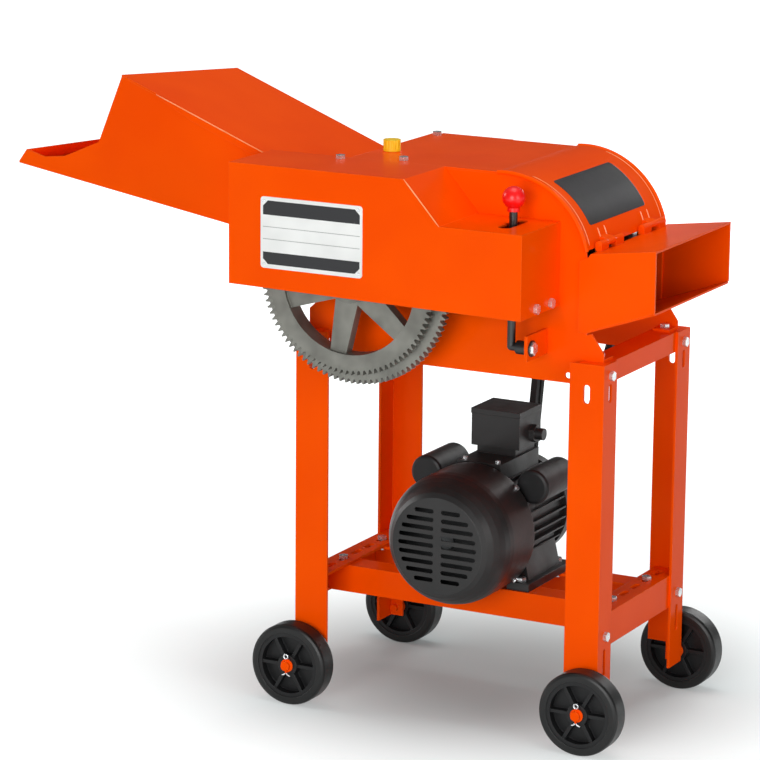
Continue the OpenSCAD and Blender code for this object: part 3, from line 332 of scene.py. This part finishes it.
# Grey cast iron, machined on its faces and oiled: dull grey with a soft sheen.
# Its skin is about 1 mm and drawn at 5 mm, so that it shows.
# Its paler edges are a painted highlight, partly the brighter machined rims.
CAST_IRON = Finish(
    "oiled_grey_cast_iron", "grey_iron", "#84837C", "#66655F", Grain.CAST, grain_mm=5.0, relief_mm=0.12,
    mottle_mm=40.0, roughness=0.46, spread=0.1, metallic=0.55, edge="#A5A49C", edge_mm=0.8)
# Turned carbon steel: bright, with fine rings from the lathe, 0.3 mm apart and drawn at 2.5 mm.
TURNED_STEEL = Finish(
    "turned_carbon_steel", "bright_steel", "#A4A6A8", "#8C8E91", Grain.TURNED, grain_mm=2.5, relief_mm=0.02,
    mottle_mm=60.0, roughness=0.32, metallic=1.0)
# The same steel on the motor's shaft, darker and less bright: painted shade for its end inside the fan cowl,
# where shade falls, partly a film of oil.
OILED_AND_SHADED_STEEL = Finish(
    "oiled_and_shaded_carbon_steel", "bright_steel", "#5E5F60", "#4A4B4C", Grain.TURNED, grain_mm=2.5, relief_mm=0.02,
    mottle_mm=60.0, roughness=0.42, metallic=1.0)
# Ground tool steel of the blades: bright, with streaks along the edge, 0.2 mm apart and drawn at 3 mm.
GROUND_STEEL = Finish(
    "ground_tool_steel", "bright_steel", "#B4B6B8", "#96989B", Grain.GROUND, grain_mm=3.0, relief_mm=0.03,
    mottle_mm=30.0, roughness=0.28, spread=0.1, metallic=1.0)
# Zinc plate on the fasteners: pale and bright. Its matt share, a fifth, is pale white: painted brightness
# for the glint of the heads, partly the faint white bloom that zinc takes on.
# Its grain is far below 1 mm and drawn at 4 mm.
ZINC_PLATE = Finish(
    "bright_zinc_plate", "zinc", "#E6E8EA", "#CDD0D3", Grain.CAST, grain_mm=4.0, relief_mm=0.02,
    mottle_mm=9.0, roughness=0.27, spread=0.09, metallic=0.8, edge_mm=0.6)
# Satin enamel over the motor's die-cast shell: near black, softly shining, with a fine cast skin,
# about 1 mm and drawn at 5 mm.
# Its edges are paler grey: a painted highlight.
MOTOR_ENAMEL = Finish(
    "satin_black_enamel", "motor_black", "#262424", "#1B1A1A", Grain.CAST, grain_mm=5.0, relief_mm=0.06,
    mottle_mm=70.0, roughness=0.4, specular=0.35, edge="#4A4846")
# Polypropylene, moulded in an etched tool: black and even. The etch is 0.5 mm and drawn at 4 mm.
# Its edges are paler grey: a painted highlight.
POLYPROPYLENE = Finish(
    "moulded_black_polypropylene", "black_plastic", "#1A1A1B", "#131314", Grain.MOULDED, grain_mm=4.0,
    relief_mm=0.04, mottle_mm=50.0, roughness=0.45, ior=1.49, specular=0.3, edge="#3E3E40")
# Vulcanised solid rubber of the tyres: black, with the shine of a new mould skin and a painted highlight in
# paler grey along the shoulder. The skin's grain is about 1 mm and drawn at 5 mm.
TYRE_RUBBER = Finish(
    "vulcanised_tyre_rubber", "tyre_rubber", "#131313", "#0D0D0D", Grain.MOULDED, grain_mm=5.0,
    relief_mm=0.06, mottle_mm=35.0, roughness=0.4, ior=1.52, specular=0.35, edge="#343433", edge_mm=2.2)
# Wrapped rubber of the belts: dull black. The fabric's threads are 0.6 mm apart and drawn at 2.5 mm.
BELT_RUBBER = Finish(
    "fabric_wrapped_belt_rubber", "belt_rubber", "#1F1F1E", "#161616", Grain.WOVEN, grain_mm=2.5,
    relief_mm=0.1, mottle_mm=45.0, roughness=0.72, ior=1.52, specular=0.25)
# Enamel sprayed on the lever's bar: black, with a soft gloss. Its peel is 2 mm and drawn at 6 mm.
LEVER_ENAMEL = Finish(
    "black_bar_enamel", "lever_black", "#1E1D1D", "#161515", Grain.PEEL, grain_mm=6.0, relief_mm=0.03,
    mottle_mm=60.0, roughness=0.34)
# Phenolic resin of the ball: deep red, with a soft polish from its mould, whose marks are drawn at 9 mm.
KNOB_PHENOLIC = Finish(
    "red_phenolic", "red_plastic", "#FA1010", "#EE0A0C", Grain.MOULDED, grain_mm=9.0, relief_mm=0.02,
    mottle_mm=40.0, roughness=0.34, spread=0.05, ior=1.6, specular=0.35)
# Polyethylene of the filler cap: warm yellow, waxy. The mould's skin is about 1 mm and drawn at 5 mm.
CAP_POLYETHYLENE = Finish(
    "yellow_polyethylene", "yellow_plastic", "#FFD81A", "#FFCE0C", Grain.MOULDED, grain_mm=5.0,
    relief_mm=0.05, mottle_mm=25.0, roughness=0.4, spread=0.06, ior=1.51)
# Anodised aluminium of the nameplate, with its print: pale and satin. Its streaks are drawn at 3 mm.
PRINTED_PLATE = PlatePrint(
    "printed_anodised_aluminium", "plate_aluminium", "#F0F0EE", "#E4E4E2", Grain.GROUND, grain_mm=3.0,
    relief_mm=0.01, mottle_mm=60.0, roughness=0.35, spread=0.06, metallic=0.1, edge_mm=0.5)
# Cast vinyl of the bare patch on the rotor cover: black, satin. Its ripple is drawn at 9 mm.
PATCH_VINYL = Finish(
    "cast_black_vinyl", "motor_black", "#17151A", "#100F12", Grain.PEEL, grain_mm=9.0, relief_mm=0.02,
    mottle_mm=80.0, roughness=0.32, spread=0.05, ior=1.53, specular=0.3)


def put_in_scene(name: str, data: bpy.types.ID) -> bpy.types.Object:
    """Makes an object of a mesh, lamp or camera and links it to the scene.

    Args:
        name: The object's name.
        data: What the object shows.

    Returns:
        The new object.
    """
    thing = bpy.data.objects.new(name, data)
    bpy.context.scene.collection.objects.link(thing)
    return thing


def mesh_object(name: str, mesh: Mesh) -> bpy.types.Object:
    """Turns a mesh into an object of the scene.

    Args:
        name: The object's name.
        mesh: Its mesh, in metres in the model's frame; it is freed.

    Returns:
        The new object.
    """
    data = bpy.data.meshes.new(name)
    mesh.to_mesh(data)
    mesh.free()
    return put_in_scene(name, data)


class Wardrobe:
    """Makes each finish's material once and puts it on pieces."""

    def __init__(self) -> None:
        """Starts with no material made."""
        self.made: dict[str, bpy.types.Material] = {}

    def wear(self, piece: bpy.types.Object, finish: Finish) -> None:
        """Gives a piece one finish all over.

        Args:
            piece: The mesh to dress.
            finish: Its finish.
        """
        if finish.name not in self.made:
            self.made[finish.name] = finish.build()
        piece.data.materials.clear()
        piece.data.materials.append(self.made[finish.name])

    def dress(self, nodes: dict[str, Finish]) -> None:
        """Dresses CAD nodes.

        Args:
            nodes: The finish of each node, by its name.
        """
        for name, finish in nodes.items():
            self.wear(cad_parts[name], finish)
            LOG.info("node %s wears %s", name, finish.name)

    def add_piece(self, name: str, mesh: Mesh, finish: Finish, body: str, smooth: bool = True) -> None:
        """Turns a mesh into a piece of the scene that rides on a body.

        Args:
            name: The piece's name.
            mesh: Its mesh, in metres in the model's frame; it is freed.
            finish: Its finish.
            body: The CAD body that carries it.
            smooth: Whether its faces are shaded as one curved surface.
        """
        bmesh.ops.recalc_face_normals(mesh, faces=mesh.faces)
        piece = mesh_object(name, mesh)
        faces = piece.data.polygons
        faces.foreach_set("use_smooth", [smooth] * len(faces))
        self.wear(piece, finish)
        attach(piece, body)
        LOG.info("piece %s rides on %s", name, body)


def skin_rings(mesh: Mesh, rings: list[list[bmesh.types.BMVert]]) -> Mesh:
    """Joins rings of points with faces and closes both ends.

    Args:
        mesh: The mesh that holds the points.
        rings: The rings in order, each with as many points as the next.

    Returns:
        The same mesh, with its faces.
    """
    sides = len(rings[0])
    for a, b in zip(rings, rings[1:]):
        for k in range(sides):
            mesh.faces.new((a[k], a[(k + 1) % sides], b[(k + 1) % sides], b[k]))
    mesh.faces.new(rings[0])
    mesh.faces.new(rings[-1])
    return mesh


def swept_tube(
    points: list[Vector], radius_mm: float, sides: int = 8, ripple: float = 0.0, into: Mesh | None = None
) -> Mesh:
    """Makes a closed tube along a line, such as a weld bead or a bent wire in a plane across Y.

    Args:
        points: The line that the tube follows, in metres.
        radius_mm: The tube's radius; its two ends are drawn in.
        sides: How many sides the tube has.
        ripple: Share of the radius by which every other ring swells.
        into: A mesh that takes the tube, or none for a new one.

    Returns:
        The mesh that holds the tube.
    """
    mesh = into or bmesh.new()
    end_share, last = 0.55, len(points) - 1
    turns = [2 * math.pi * k / sides for k in range(sides)]
    rings = []
    for i, point in enumerate(points):
        ahead = (points[min(i + 1, last)] - points[max(i - 1, 0)]).normalized()
        across = (ACROSS - ahead * ahead.y).normalized()
        up = across.cross(ahead)
        r = radius_mm / 1000 * (1 + ripple * (1 if i % 2 else -1)) * (end_share if i in (0, last) else 1.0)
        rings.append([mesh.verts.new(point + r * (math.cos(t) * across + math.sin(t) * up)) for t in turns])
    return skin_rings(mesh, rings)


def along(start: Vector, end: Vector, step_mm: float) -> list[Vector]:
    """Gives points from start to end, about step_mm apart."""
    count = max(int((end - start).length * 1000 / step_mm), 2)
    return [start.lerp(end, i / count) for i in range(count + 1)]


def stacked_disc(foot_mm: Point, steps: tuple[Span, ...], sides: int) -> Mesh:
    """Makes a closed solid of rings along X, such as a washer or a bolt's head.

    Args:
        foot_mm: The middle of its foot.
        steps: Distance from the foot and radius of each ring in mm.
        sides: How many sides each ring has.

    Returns:
        The solid's mesh.
    """
    mesh = bmesh.new()
    x, y, z = foot_mm
    turns = [math.pi / 2 + 2 * math.pi * k / sides for k in range(sides)]
    rings = []
    for out, r in steps:
        points = [place(x + out, y + r * math.cos(t), z + r * math.sin(t)) for t in turns]
        rings.append([mesh.verts.new(point) for point in points])
    return skin_rings(mesh, rings)


@dataclass
class SubAssembly:
    """Pieces of the machine that belong together. All sizes are in millimetres from the stand's middle."""

    nodes: dict[str, Finish]

    def dress(self, wardrobe: Wardrobe) -> None:
        """Gives each CAD node its finish."""
        wardrobe.dress(self.nodes)

    def build(self, wardrobe: Wardrobe) -> None:
        """Adds the small pieces that the CAD nodes lack; here there are none."""


@dataclass
class Stand(SubAssembly):
    """The angle-iron stand with its rails and bolts."""

    nodes: dict[str, Finish] = field(default_factory=lambda: {
        "front_legs": POWDER_COAT, "rear_legs": POWDER_COAT, "top_beams": POWDER_COAT,
        "side_rails": POWDER_COAT, "motor_rails": POWDER_COAT, "frame_bolts": ZINC_PLATE})


@dataclass
class Wheels(SubAssembly):
    """The four wheels on their stub axles, each held by a split pin."""

    nodes: dict[str, Finish] = field(default_factory=lambda: {
        "wheel_axles": POWDER_COAT, **{f"hub_{corner}": POLYPROPYLENE for corner in CORNERS},
        **{f"tyre_{corner}": TYRE_RUBBER for corner in CORNERS}})
    axle_x: float = 240.0
    axle_z: float = 62.5
    pin_y: float = 202.0
    pin_half: float = 11.3
    pin_r: float = 1.95
    wire_r: float = 1.1
    wire_sides: int = 10
    eye_r: float = 3.4
    eye_points: int = 20
    # one spread leg: out from the pin's middle, and up from its lower end
    leg_line: tuple[Span, ...] = ((0.6, 1.5), (1.2, -0.6), (2.8, -2.2), (5.2, -3.2), (7.4, -3.6))

    def pin_lines(self) -> list[tuple[list[Span], float]]:
        """Draws a split pin: its eye, its shank and its two spread legs.

        Returns:
            For each wire, its line along X and Z from the axle's middle and its radius.
        """
        turns = [math.radians(-90 + 360 * k / self.eye_points) for k in range(self.eye_points)]
        eye = [(self.eye_r * math.cos(t), self.pin_half + self.eye_r * (1 + math.sin(t))) for t in turns]
        shank = [(0.0, -self.pin_half), (0.0, 0.0), (0.0, self.pin_half)]
        legs = [[(side * x, z - self.pin_half) for x, z in self.leg_line] for side in (-1, 1)]
        return [(eye + eye[:1], self.wire_r), (shank, self.pin_r)] + [(leg, self.wire_r) for leg in legs]

    def build(self, wardrobe: Wardrobe) -> None:
        """Puts a split pin through each axle's end.

        Args:
            wardrobe: What dresses the pins.
        """
        for corner in CORNERS:
            axle_x = self.axle_x * (-1 if corner.endswith("left") else 1)
            y = self.pin_y * (-1 if corner.startswith("front") else 1)
            mesh = bmesh.new()
            for points, radius in self.pin_lines():
                line = [place(axle_x + x, y, self.axle_z + z) for x, z in points]
                swept_tube(line, radius, self.wire_sides, into=mesh)
            wardrobe.add_piece(f"split_pin_{corner}", mesh, ZINC_PLATE, "frame")


@dataclass
class CutterBody(SubAssembly):
    """Side plates, top sheet, chute and the hinged rotor cover with its bare patch."""

    nodes: dict[str, Finish] = field(default_factory=lambda: {
        "front_side_plate": POWDER_COAT, "rear_side_plate": POWDER_COAT, "top_sheet": POWDER_COAT,
        "drum_concave": POWDER_COAT, "knife_table": POWDER_COAT, "chute": POWDER_COAT,
        "rotor_cover": POWDER_COAT, "sync_guard": POWDER_COAT, "lever_lug": POWDER_COAT,
        "bed_knife": GROUND_STEEL, "top_bolts": ZINC_PLATE, "pressure_springs": ZINC_PLATE,
        "shaft_bearings": CAST_IRON})
    rotor_x: float = 82.0
    rotor_z: float = 700.0
    drum_r: float = 134.0
    patch_y: Span = (-105.0, 88.0)
    patch_deg: Span = (27.4, 63.8)
    patch_t: float = 0.35
    patch_sunk: float = 0.3  # how deep its underside lies in the sheet
    patch_corner: float = 5.0
    corner_rows: int = 5
    patch_rows: int = 24
    strap_y: tuple[tuple[str, float], ...] = (
        ("near_a", -86.0), ("near_b", -64.0), ("far_a", 64.0), ("far_b", 86.0))
    weld_start_deg: float = 15.5
    weld_step_deg: float = 0.7
    weld_points: int = 14
    weld_lift: float = 0.2
    weld_r: float = 1.0
    weld_ripple: float = 0.12
    crease_y: tuple[tuple[str, float], ...] = (("near", -126.0), ("far", 126.0))
    crease_deg: range = range(16, 76, 2)
    crease_r: float = 0.7

    def on_cover(self, y: float, degrees: float, lift: float) -> Vector:
        """Gives a point on the rotor cover.

        Args:
            y: Place across the machine in mm.
            degrees: Angle above the horizontal through the rotor.
            lift: Height over the sheet in mm.

        Returns:
            The point, in metres in the model's frame.
        """
        a, r = math.radians(degrees), self.drum_r + lift
        return place(self.rotor_x + r * math.cos(a), y, self.rotor_z + r * math.sin(a))

    def patch_mesh(self) -> Mesh:
        """Bends the patch over the cover, with rounded corners.

        Returns:
            The patch's mesh.
        """
        degree_mm = math.pi * self.drum_r / 180
        (y0, y1), (a0, a1) = self.patch_y, self.patch_deg
        corner, high = self.patch_corner, (a1 - a0) * degree_mm
        ends = [corner * (1 - math.cos(math.pi / 2 * k / self.corner_rows)) for k in range(self.corner_rows)]
        middle = [corner + (high - 2 * corner) * k / self.patch_rows for k in range(self.patch_rows + 1)]
        mesh = bmesh.new()
        rings = []
        for row in ends + middle + [high - end for end in reversed(ends)]:
            near = min(row, high - row, corner)
            pull = corner - math.sqrt(max(corner ** 2 - (corner - near) ** 2, 0.0))
            degrees, top, under = a0 + row / degree_mm, self.patch_t, -self.patch_sunk
            profile = ((y0 + pull, top), (y1 - pull, top), (y1 - pull, under), (y0 + pull, under))
            rings.append([mesh.verts.new(self.on_cover(y, degrees, lift)) for y, lift in profile])
        return skin_rings(mesh, rings)

    def build(self, wardrobe: Wardrobe) -> None:
        """Adds the patch, the weld seams at the hinge straps and a line inside each bead, seams and lines in
        a pale painted highlight.

        Args:
            wardrobe: What dresses these pieces.
        """
        wardrobe.add_piece("cover_patch", self.patch_mesh(), PATCH_VINYL, "rotor_lid", smooth=False)
        weld_degrees = [self.weld_start_deg + self.weld_step_deg * k for k in range(self.weld_points)]
        for name, y in self.strap_y:
            line = [self.on_cover(y, degrees, self.weld_lift) for degrees in weld_degrees]
            seam = swept_tube(line, self.weld_r, ripple=self.weld_ripple)
            wardrobe.add_piece(f"strap_weld_highlight_{name}", seam, EDGE_HIGHLIGHT_PAINT, "rotor_lid")
        for name, y in self.crease_y:
            line = [self.on_cover(y, degrees, 0.0) for degrees in self.crease_deg]
            crease = swept_tube(line, self.crease_r)
            wardrobe.add_piece(f"cover_crease_highlight_{name}", crease, EDGE_HIGHLIGHT_PAINT, "rotor_lid")


@dataclass
class Hopper(SubAssembly):
    """The feed hopper: tray and hood, with the hood's folded edges."""

    nodes: dict[str, Finish] = field(default_factory=lambda: {
        "hopper_tray": POWDER_COAT, "hopper_hood": POWDER_COAT})
    mouth: Span = (-543.0, 912.0)
    slope_deg: float = 21.3
    wall_y: float = 133.0
    fold_x: Span = (-505.0, -262.0)
    fold_h: float = 11.0
    fold_t: float = 1.4
    fold_sunk: float = 0.4  # how deep its inner face lies in the wall
    fold_over: float = 1.5  # how far it stands over the hood's underside
    fold_bend: float = 1.0  # how much lower its outer face starts
    fold_lip: float = 0.8  # how much lower its inner face ends
    fold_steps: int = 12
    fold_tip: float = 0.25  # share of the fold's height that is left at its ends
    fold_taper: Span = (4.0, 2.0)  # steps in which the whole height would grow, from either end
    hem_out: float = 0.6
    hem_up: float = 1.6
    hem_r: float = 0.8
    hem_step: float = 20.0

    def hood_z(self, x: float) -> float:
        """Gives the height of the hood's underside at a place along the machine, in mm."""
        return self.mouth[1] - (x - self.mouth[0]) * math.tan(math.radians(self.slope_deg))

    def fold_mesh(self, side: int) -> Mesh:
        """Folds one long edge of the hood down over its side wall, tapered toward its ends.

        Args:
            side: -1 for the front wall and 1 for the rear one.

        Returns:
            The fold's mesh.
        """
        mesh = bmesh.new()
        inner, outer = side * (self.wall_y - self.fold_sunk), side * (self.wall_y + self.fold_t)
        rings = []
        for k in range(self.fold_steps + 1):
            x = self.fold_x[0] + (self.fold_x[1] - self.fold_x[0]) * k / self.fold_steps
            grown = k / self.fold_taper[0], (self.fold_steps - k) / self.fold_taper[1]
            drop = self.fold_h * min(1.0, self.fold_tip + min(grown))
            top = self.hood_z(x) + self.fold_over
            profile = ((inner, top), (outer, top - self.fold_bend), (outer, top - drop),
                       (inner, top - drop - self.fold_lip))
            rings.append([mesh.verts.new(place(x, y, z)) for y, z in profile])
        return skin_rings(mesh, rings)

    def build(self, wardrobe: Wardrobe) -> None:
        """Adds the fold of each long edge, with a pale painted highlight along its hem.

        Args:
            wardrobe: What dresses these pieces.
        """
        for name, side in (("front", -1), ("rear", 1)):
            wardrobe.add_piece(f"hood_fold_{name}", self.fold_mesh(side), POWDER_COAT, "frame", smooth=False)
            y = side * (self.wall_y + self.hem_out)
            start, end = (place(x, y, self.hood_z(x) + self.hem_up) for x in self.fold_x)
            hem = swept_tube(along(start, end, self.hem_step), self.hem_r)
            wardrobe.add_piece(f"hood_hem_highlight_{name}", hem, EDGE_HIGHLIGHT_PAINT, "frame")


@dataclass
class GearCover(SubAssembly):
    """The gear cover with its nameplate, brackets and bolts."""

    nodes: dict[str, Finish] = field(default_factory=lambda: {
        "gear_cover": POWDER_COAT, "cover_brackets": POWDER_COAT, "nameplate": PRINTED_PLATE,
        "cover_bolts": ZINC_PLATE})
    front_y: float = -259.0
    slope_ends: tuple[Span, Span] = ((-19.0, 832.0), (38.0, 769.0))
    seam_sunk: float = 0.2
    seam_r: float = 0.9
    seam_step: float = 10.0

    def build(self, wardrobe: Wardrobe) -> None:
        """Draws a pale painted highlight along the raw edge of the sheet where the slope meets the front.

        Args:
            wardrobe: What dresses the edge.
        """
        start, end = (place(x, self.front_y + self.seam_sunk, z - self.seam_sunk) for x, z in self.slope_ends)
        seam = swept_tube(along(start, end, self.seam_step), self.seam_r)
        wardrobe.add_piece("slope_seam_highlight", seam, EDGE_HIGHLIGHT_PAINT, "frame")


@dataclass
class Controls(SubAssembly):
    """The gear lever with its ball, and the filler cap."""

    nodes: dict[str, Finish] = field(default_factory=lambda: {
        "lever_rod": LEVER_ENAMEL, "lever_knob": KNOB_PHENOLIC, "filler_cap": CAP_POLYETHYLENE})
    pivot: Point = (151.0, -186.0, 592.0)
    washer: tuple[Span, ...] = ((-0.2, 12.0), (1.6, 12.0), (2.0, 11.4))
    washer_sides: int = 32
    head: tuple[Span, ...] = ((1.8, 9.8), (5.2, 9.8), (6.3, 8.4))
    head_sides: int = 6

    def build(self, wardrobe: Wardrobe) -> None:
        """Puts the black washer and the plated head on the lever's pivot bolt.

        Args:
            wardrobe: What dresses the two.
        """
        washer = stacked_disc(self.pivot, self.washer, self.washer_sides)
        wardrobe.add_piece("pivot_washer", washer, LEVER_ENAMEL, "frame", smooth=False)
        head = stacked_disc(self.pivot, self.head, self.head_sides)
        wardrobe.add_piece("pivot_bolt_head", head, ZINC_PLATE, "frame", smooth=False)


@dataclass
class CuttingRotor(SubAssembly):
    """The main shaft with its knives, pulley and sliding pinion."""

    nodes: dict[str, Finish] = field(default_factory=lambda: {
        "main_shaft": TURNED_STEEL, "rotor_discs": CAST_IRON, "knives": GROUND_STEEL,
        "knife_bolts": ZINC_PLATE, "driven_pulley": CAST_IRON, "drive_pinion": TURNED_STEEL})


@dataclass
class FeedRollers(SubAssembly):
    """The two feed rollers with their gears and blocks."""

    nodes: dict[str, Finish] = field(default_factory=lambda: {
        "lower_roller": TURNED_STEEL, "upper_roller": TURNED_STEEL, "feed_gear": CAST_IRON,
        "lower_sync_gear": CAST_IRON, "upper_sync_gear": CAST_IRON, "upper_blocks": CAST_IRON})


@dataclass
class Motor(SubAssembly):
    """The electric motor and the belt drive."""

    nodes: dict[str, Finish] = field(default_factory=lambda: {
        "motor_frame": MOTOR_ENAMEL, "motor_bells": MOTOR_ENAMEL, "fan_cowl": MOTOR_ENAMEL,
        "terminal_box": MOTOR_ENAMEL, "capacitors": POLYPROPYLENE, "motor_bolts": ZINC_PLATE,
        "motor_shaft": OILED_AND_SHADED_STEEL, "motor_fan": POLYPROPYLENE, "motor_pulley": CAST_IRON,
        "drive_belts": BELT_RUBBER})


@dataclass(frozen=True)
class Softbox:
    """One square studio lamp, with its places and side in metres."""

    name: str
    stands_at: Point
    aims_at: Point
    side_m: float
    watts: float

    def light(self) -> None:
        """Sets the lamp up."""
        lamp = bpy.data.lights.new(self.name, "AREA")
        lamp.shape, lamp.size, lamp.energy = "SQUARE", self.side_m, self.watts
        holder = put_in_scene(self.name, lamp)
        holder.location = self.stands_at
        aim = Vector(self.aims_at) - Vector(self.stands_at)
        holder.rotation_euler = aim.to_track_quat("-Z", "Y").to_euler()


@dataclass
class Studio:
    """Camera, floor, lamps and the pale room."""

    camera_mm: Point = (2269.35, -4631.2, 1686.59)
    right: Point = (0.882117, 0.470952, 0.008608)
    up: Point = (-0.113923, 0.195581, 0.974048)
    back: Point = (0.457047, -0.860205, 0.226178)
    focal_px: float = 3543.13
    sensor_mm: float = 36.0
    sight_m: float = 100.0
    glow: Span = (0.045, 0.3)
    glow_rise: Span = (0.1, 0.8)  # how steep a direction has the least and the most glow
    floor_grey: str = "#B3BBBB"
    floor_m: float = 40.0
    floor_sides: int = 96
    wall_m: float = 2.4
    # The lift is weakest at this centre and grows outward by these steps, which paints a shadow pool round
    # the machine.
    shadow_pool_centre: Point = (-40.0, 110.0, 0.0)
    lift_steps: tuple[Span, Span, Span] = ((0.1, 0.03), (0.62, 0.66), (2.5, 1.0))  # metres, strength
    lamps: tuple[Softbox, ...] = (
        Softbox("key_front", (0.9, -3.9, 1.15), (0.2, 0.0, 0.5), 1.8, 88.0),
        Softbox("fill_right", (3.5, -1.5, 1.3), (0.25, 0.0, 0.5), 1.8, 42.0),
        Softbox("fill_back", (0.2, 4.7, 1.1), (0.2, 0.0, 0.5), 1.8, 80.0),
        Softbox("fill_left", (-3.6, -0.3, 1.4), (0.1, 0.0, 0.5), 1.8, 48.0),
        Softbox("overhead", (0.2, 0.3, 8.0), (0.2, 0.0, 0.3), 4.5, 240.0),
    )

    def set_camera(self) -> None:
        """Stands the camera where the picture was taken from."""
        data = bpy.data.cameras.new("studio_camera")
        data.sensor_width = self.sensor_mm
        data.lens = self.focal_px * self.sensor_mm / IMAGE_SIDE
        data.clip_end = self.sight_m
        camera = put_in_scene("studio_camera", data)
        turn = Matrix((self.right, self.up, self.back)).transposed().to_4x4()
        camera.matrix_world = Matrix.Translation(place(*self.camera_mm)) @ turn
        bpy.context.scene.camera = camera

    def light_room(self) -> None:
        """Gives the room a dim glow, stronger from above; the floor alone makes the background."""
        world = bpy.data.worlds.new("dim_room")
        bpy.context.scene.world = world
        tree = bare_tree(world)
        where = add_node(tree, "ShaderNodeTexCoord").outputs["Generated"]
        rise = add_node(tree, "ShaderNodeSeparateXYZ", in0=where).outputs["Z"]
        strength = add_node(tree, "ShaderNodeMapRange", Value=rise, From_Min=self.glow_rise[0],
                            From_Max=self.glow_rise[1], To_Min=self.glow[0], To_Max=self.glow[1])
        glow = add_node(tree, "ShaderNodeBackground", Color=WHITE, Strength=strength.outputs[0])
        add_node(tree, "ShaderNodeOutputWorld", Surface=glow.outputs[0])

    def seen(self, tree: Tree) -> Socket:
        """Tells the rays that show the room, straight or in a reflection, from those that light things.

        Args:
            tree: The material's node tree.

        Returns:
            The socket that carries 1 for a ray that shows the room, and else 0.
        """
        rays = add_node(tree, "ShaderNodeLightPath").outputs
        mirrored = add_node(tree, "ShaderNodeMath", {"operation": "MAXIMUM"}, in0=rays["Is Glossy Ray"],
                            in1=rays["Is Transmission Ray"])
        return add_node(tree, "ShaderNodeMath", {"operation": "MAXIMUM"}, in0=rays["Is Camera Ray"],
                        in1=mirrored.outputs[0]).outputs[0]

    def floor_paint(self) -> bpy.types.Material:
        """Mixes the floor's matt paint, lifted to white away from the machine so that its shadow stays.

        The lift fades near the machine, which paints a soft shadow pool round it over that shadow.

        Returns:
            The floor's material.
        """
        paint = bpy.data.materials.new("pale_studio_paint")
        tree = bare_tree(paint)
        matt = add_node(tree, "ShaderNodeBsdfDiffuse", Color=linear(self.floor_grey))
        where = add_node(tree, "ShaderNodeTexCoord").outputs["Object"]
        away = add_node(tree, "ShaderNodeVectorMath", {"operation": "DISTANCE"}, in0=where,
                        in1=place(*self.shadow_pool_centre)).outputs["Value"]
        (r0, s0), (r1, s1), (r2, s2) = self.lift_steps
        near, far = (
            add_node(tree, "ShaderNodeMapRange", {"interpolation_type": "SMOOTHSTEP"}, Value=away,
                     From_Min=start, From_Max=end, To_Min=low, To_Max=high).outputs[0]
            for start, end, low, high in ((r0, r1, s0, s1), (r1, r2, 0.0, s2 - s1)))
        total = add_node(tree, "ShaderNodeMath", {"operation": "ADD"}, in0=near, in1=far).outputs[0]
        lift = add_node(tree, "ShaderNodeMath", {"operation": "MULTIPLY"}, in0=self.seen(tree), in1=total)
        glow = add_node(tree, "ShaderNodeEmission", Color=WHITE, Strength=lift.outputs[0])
        both = add_node(tree, "ShaderNodeAddShader", in0=matt.outputs[0], in1=glow.outputs[0])
        add_node(tree, "ShaderNodeOutputMaterial", Surface=both.outputs[0])
        return paint

    def lay_floor(self) -> None:
        """Lays the pale floor with a low wall far round it."""
        mesh = bmesh.new()
        bmesh.ops.create_circle(mesh, cap_ends=True, radius=self.floor_m, segments=self.floor_sides)
        wall = bmesh.ops.extrude_edge_only(mesh, edges=[edge for edge in mesh.edges if edge.is_boundary])
        rim = [part for part in wall["geom"] if isinstance(part, bmesh.types.BMVert)]
        bmesh.ops.translate(mesh, vec=(0.0, 0.0, self.wall_m), verts=rim)
        floor = mesh_object("studio_floor", mesh)
        floor.data.materials.append(self.floor_paint())

    def set_up(self) -> None:
        """Sets up the whole studio."""
        self.set_camera()
        self.light_room()
        self.lay_floor()
        for lamp in self.lamps:
            lamp.light()
        bpy.context.scene.view_settings.view_transform = "Standard"


def main() -> None:
    """Sets up the studio, then dresses and builds each sub-assembly in order."""
    logging.basicConfig(level=logging.INFO, format="%(name)s: %(message)s")
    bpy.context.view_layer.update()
    Studio().set_up()
    wardrobe = Wardrobe()
    for kind in (Stand, Wheels, CutterBody, Hopper, GearCover, Controls, CuttingRotor, FeedRollers, Motor):
        part = kind()
        part.dress(wardrobe)
        part.build(wardrobe)


if __name__ == "__main__":
    main()
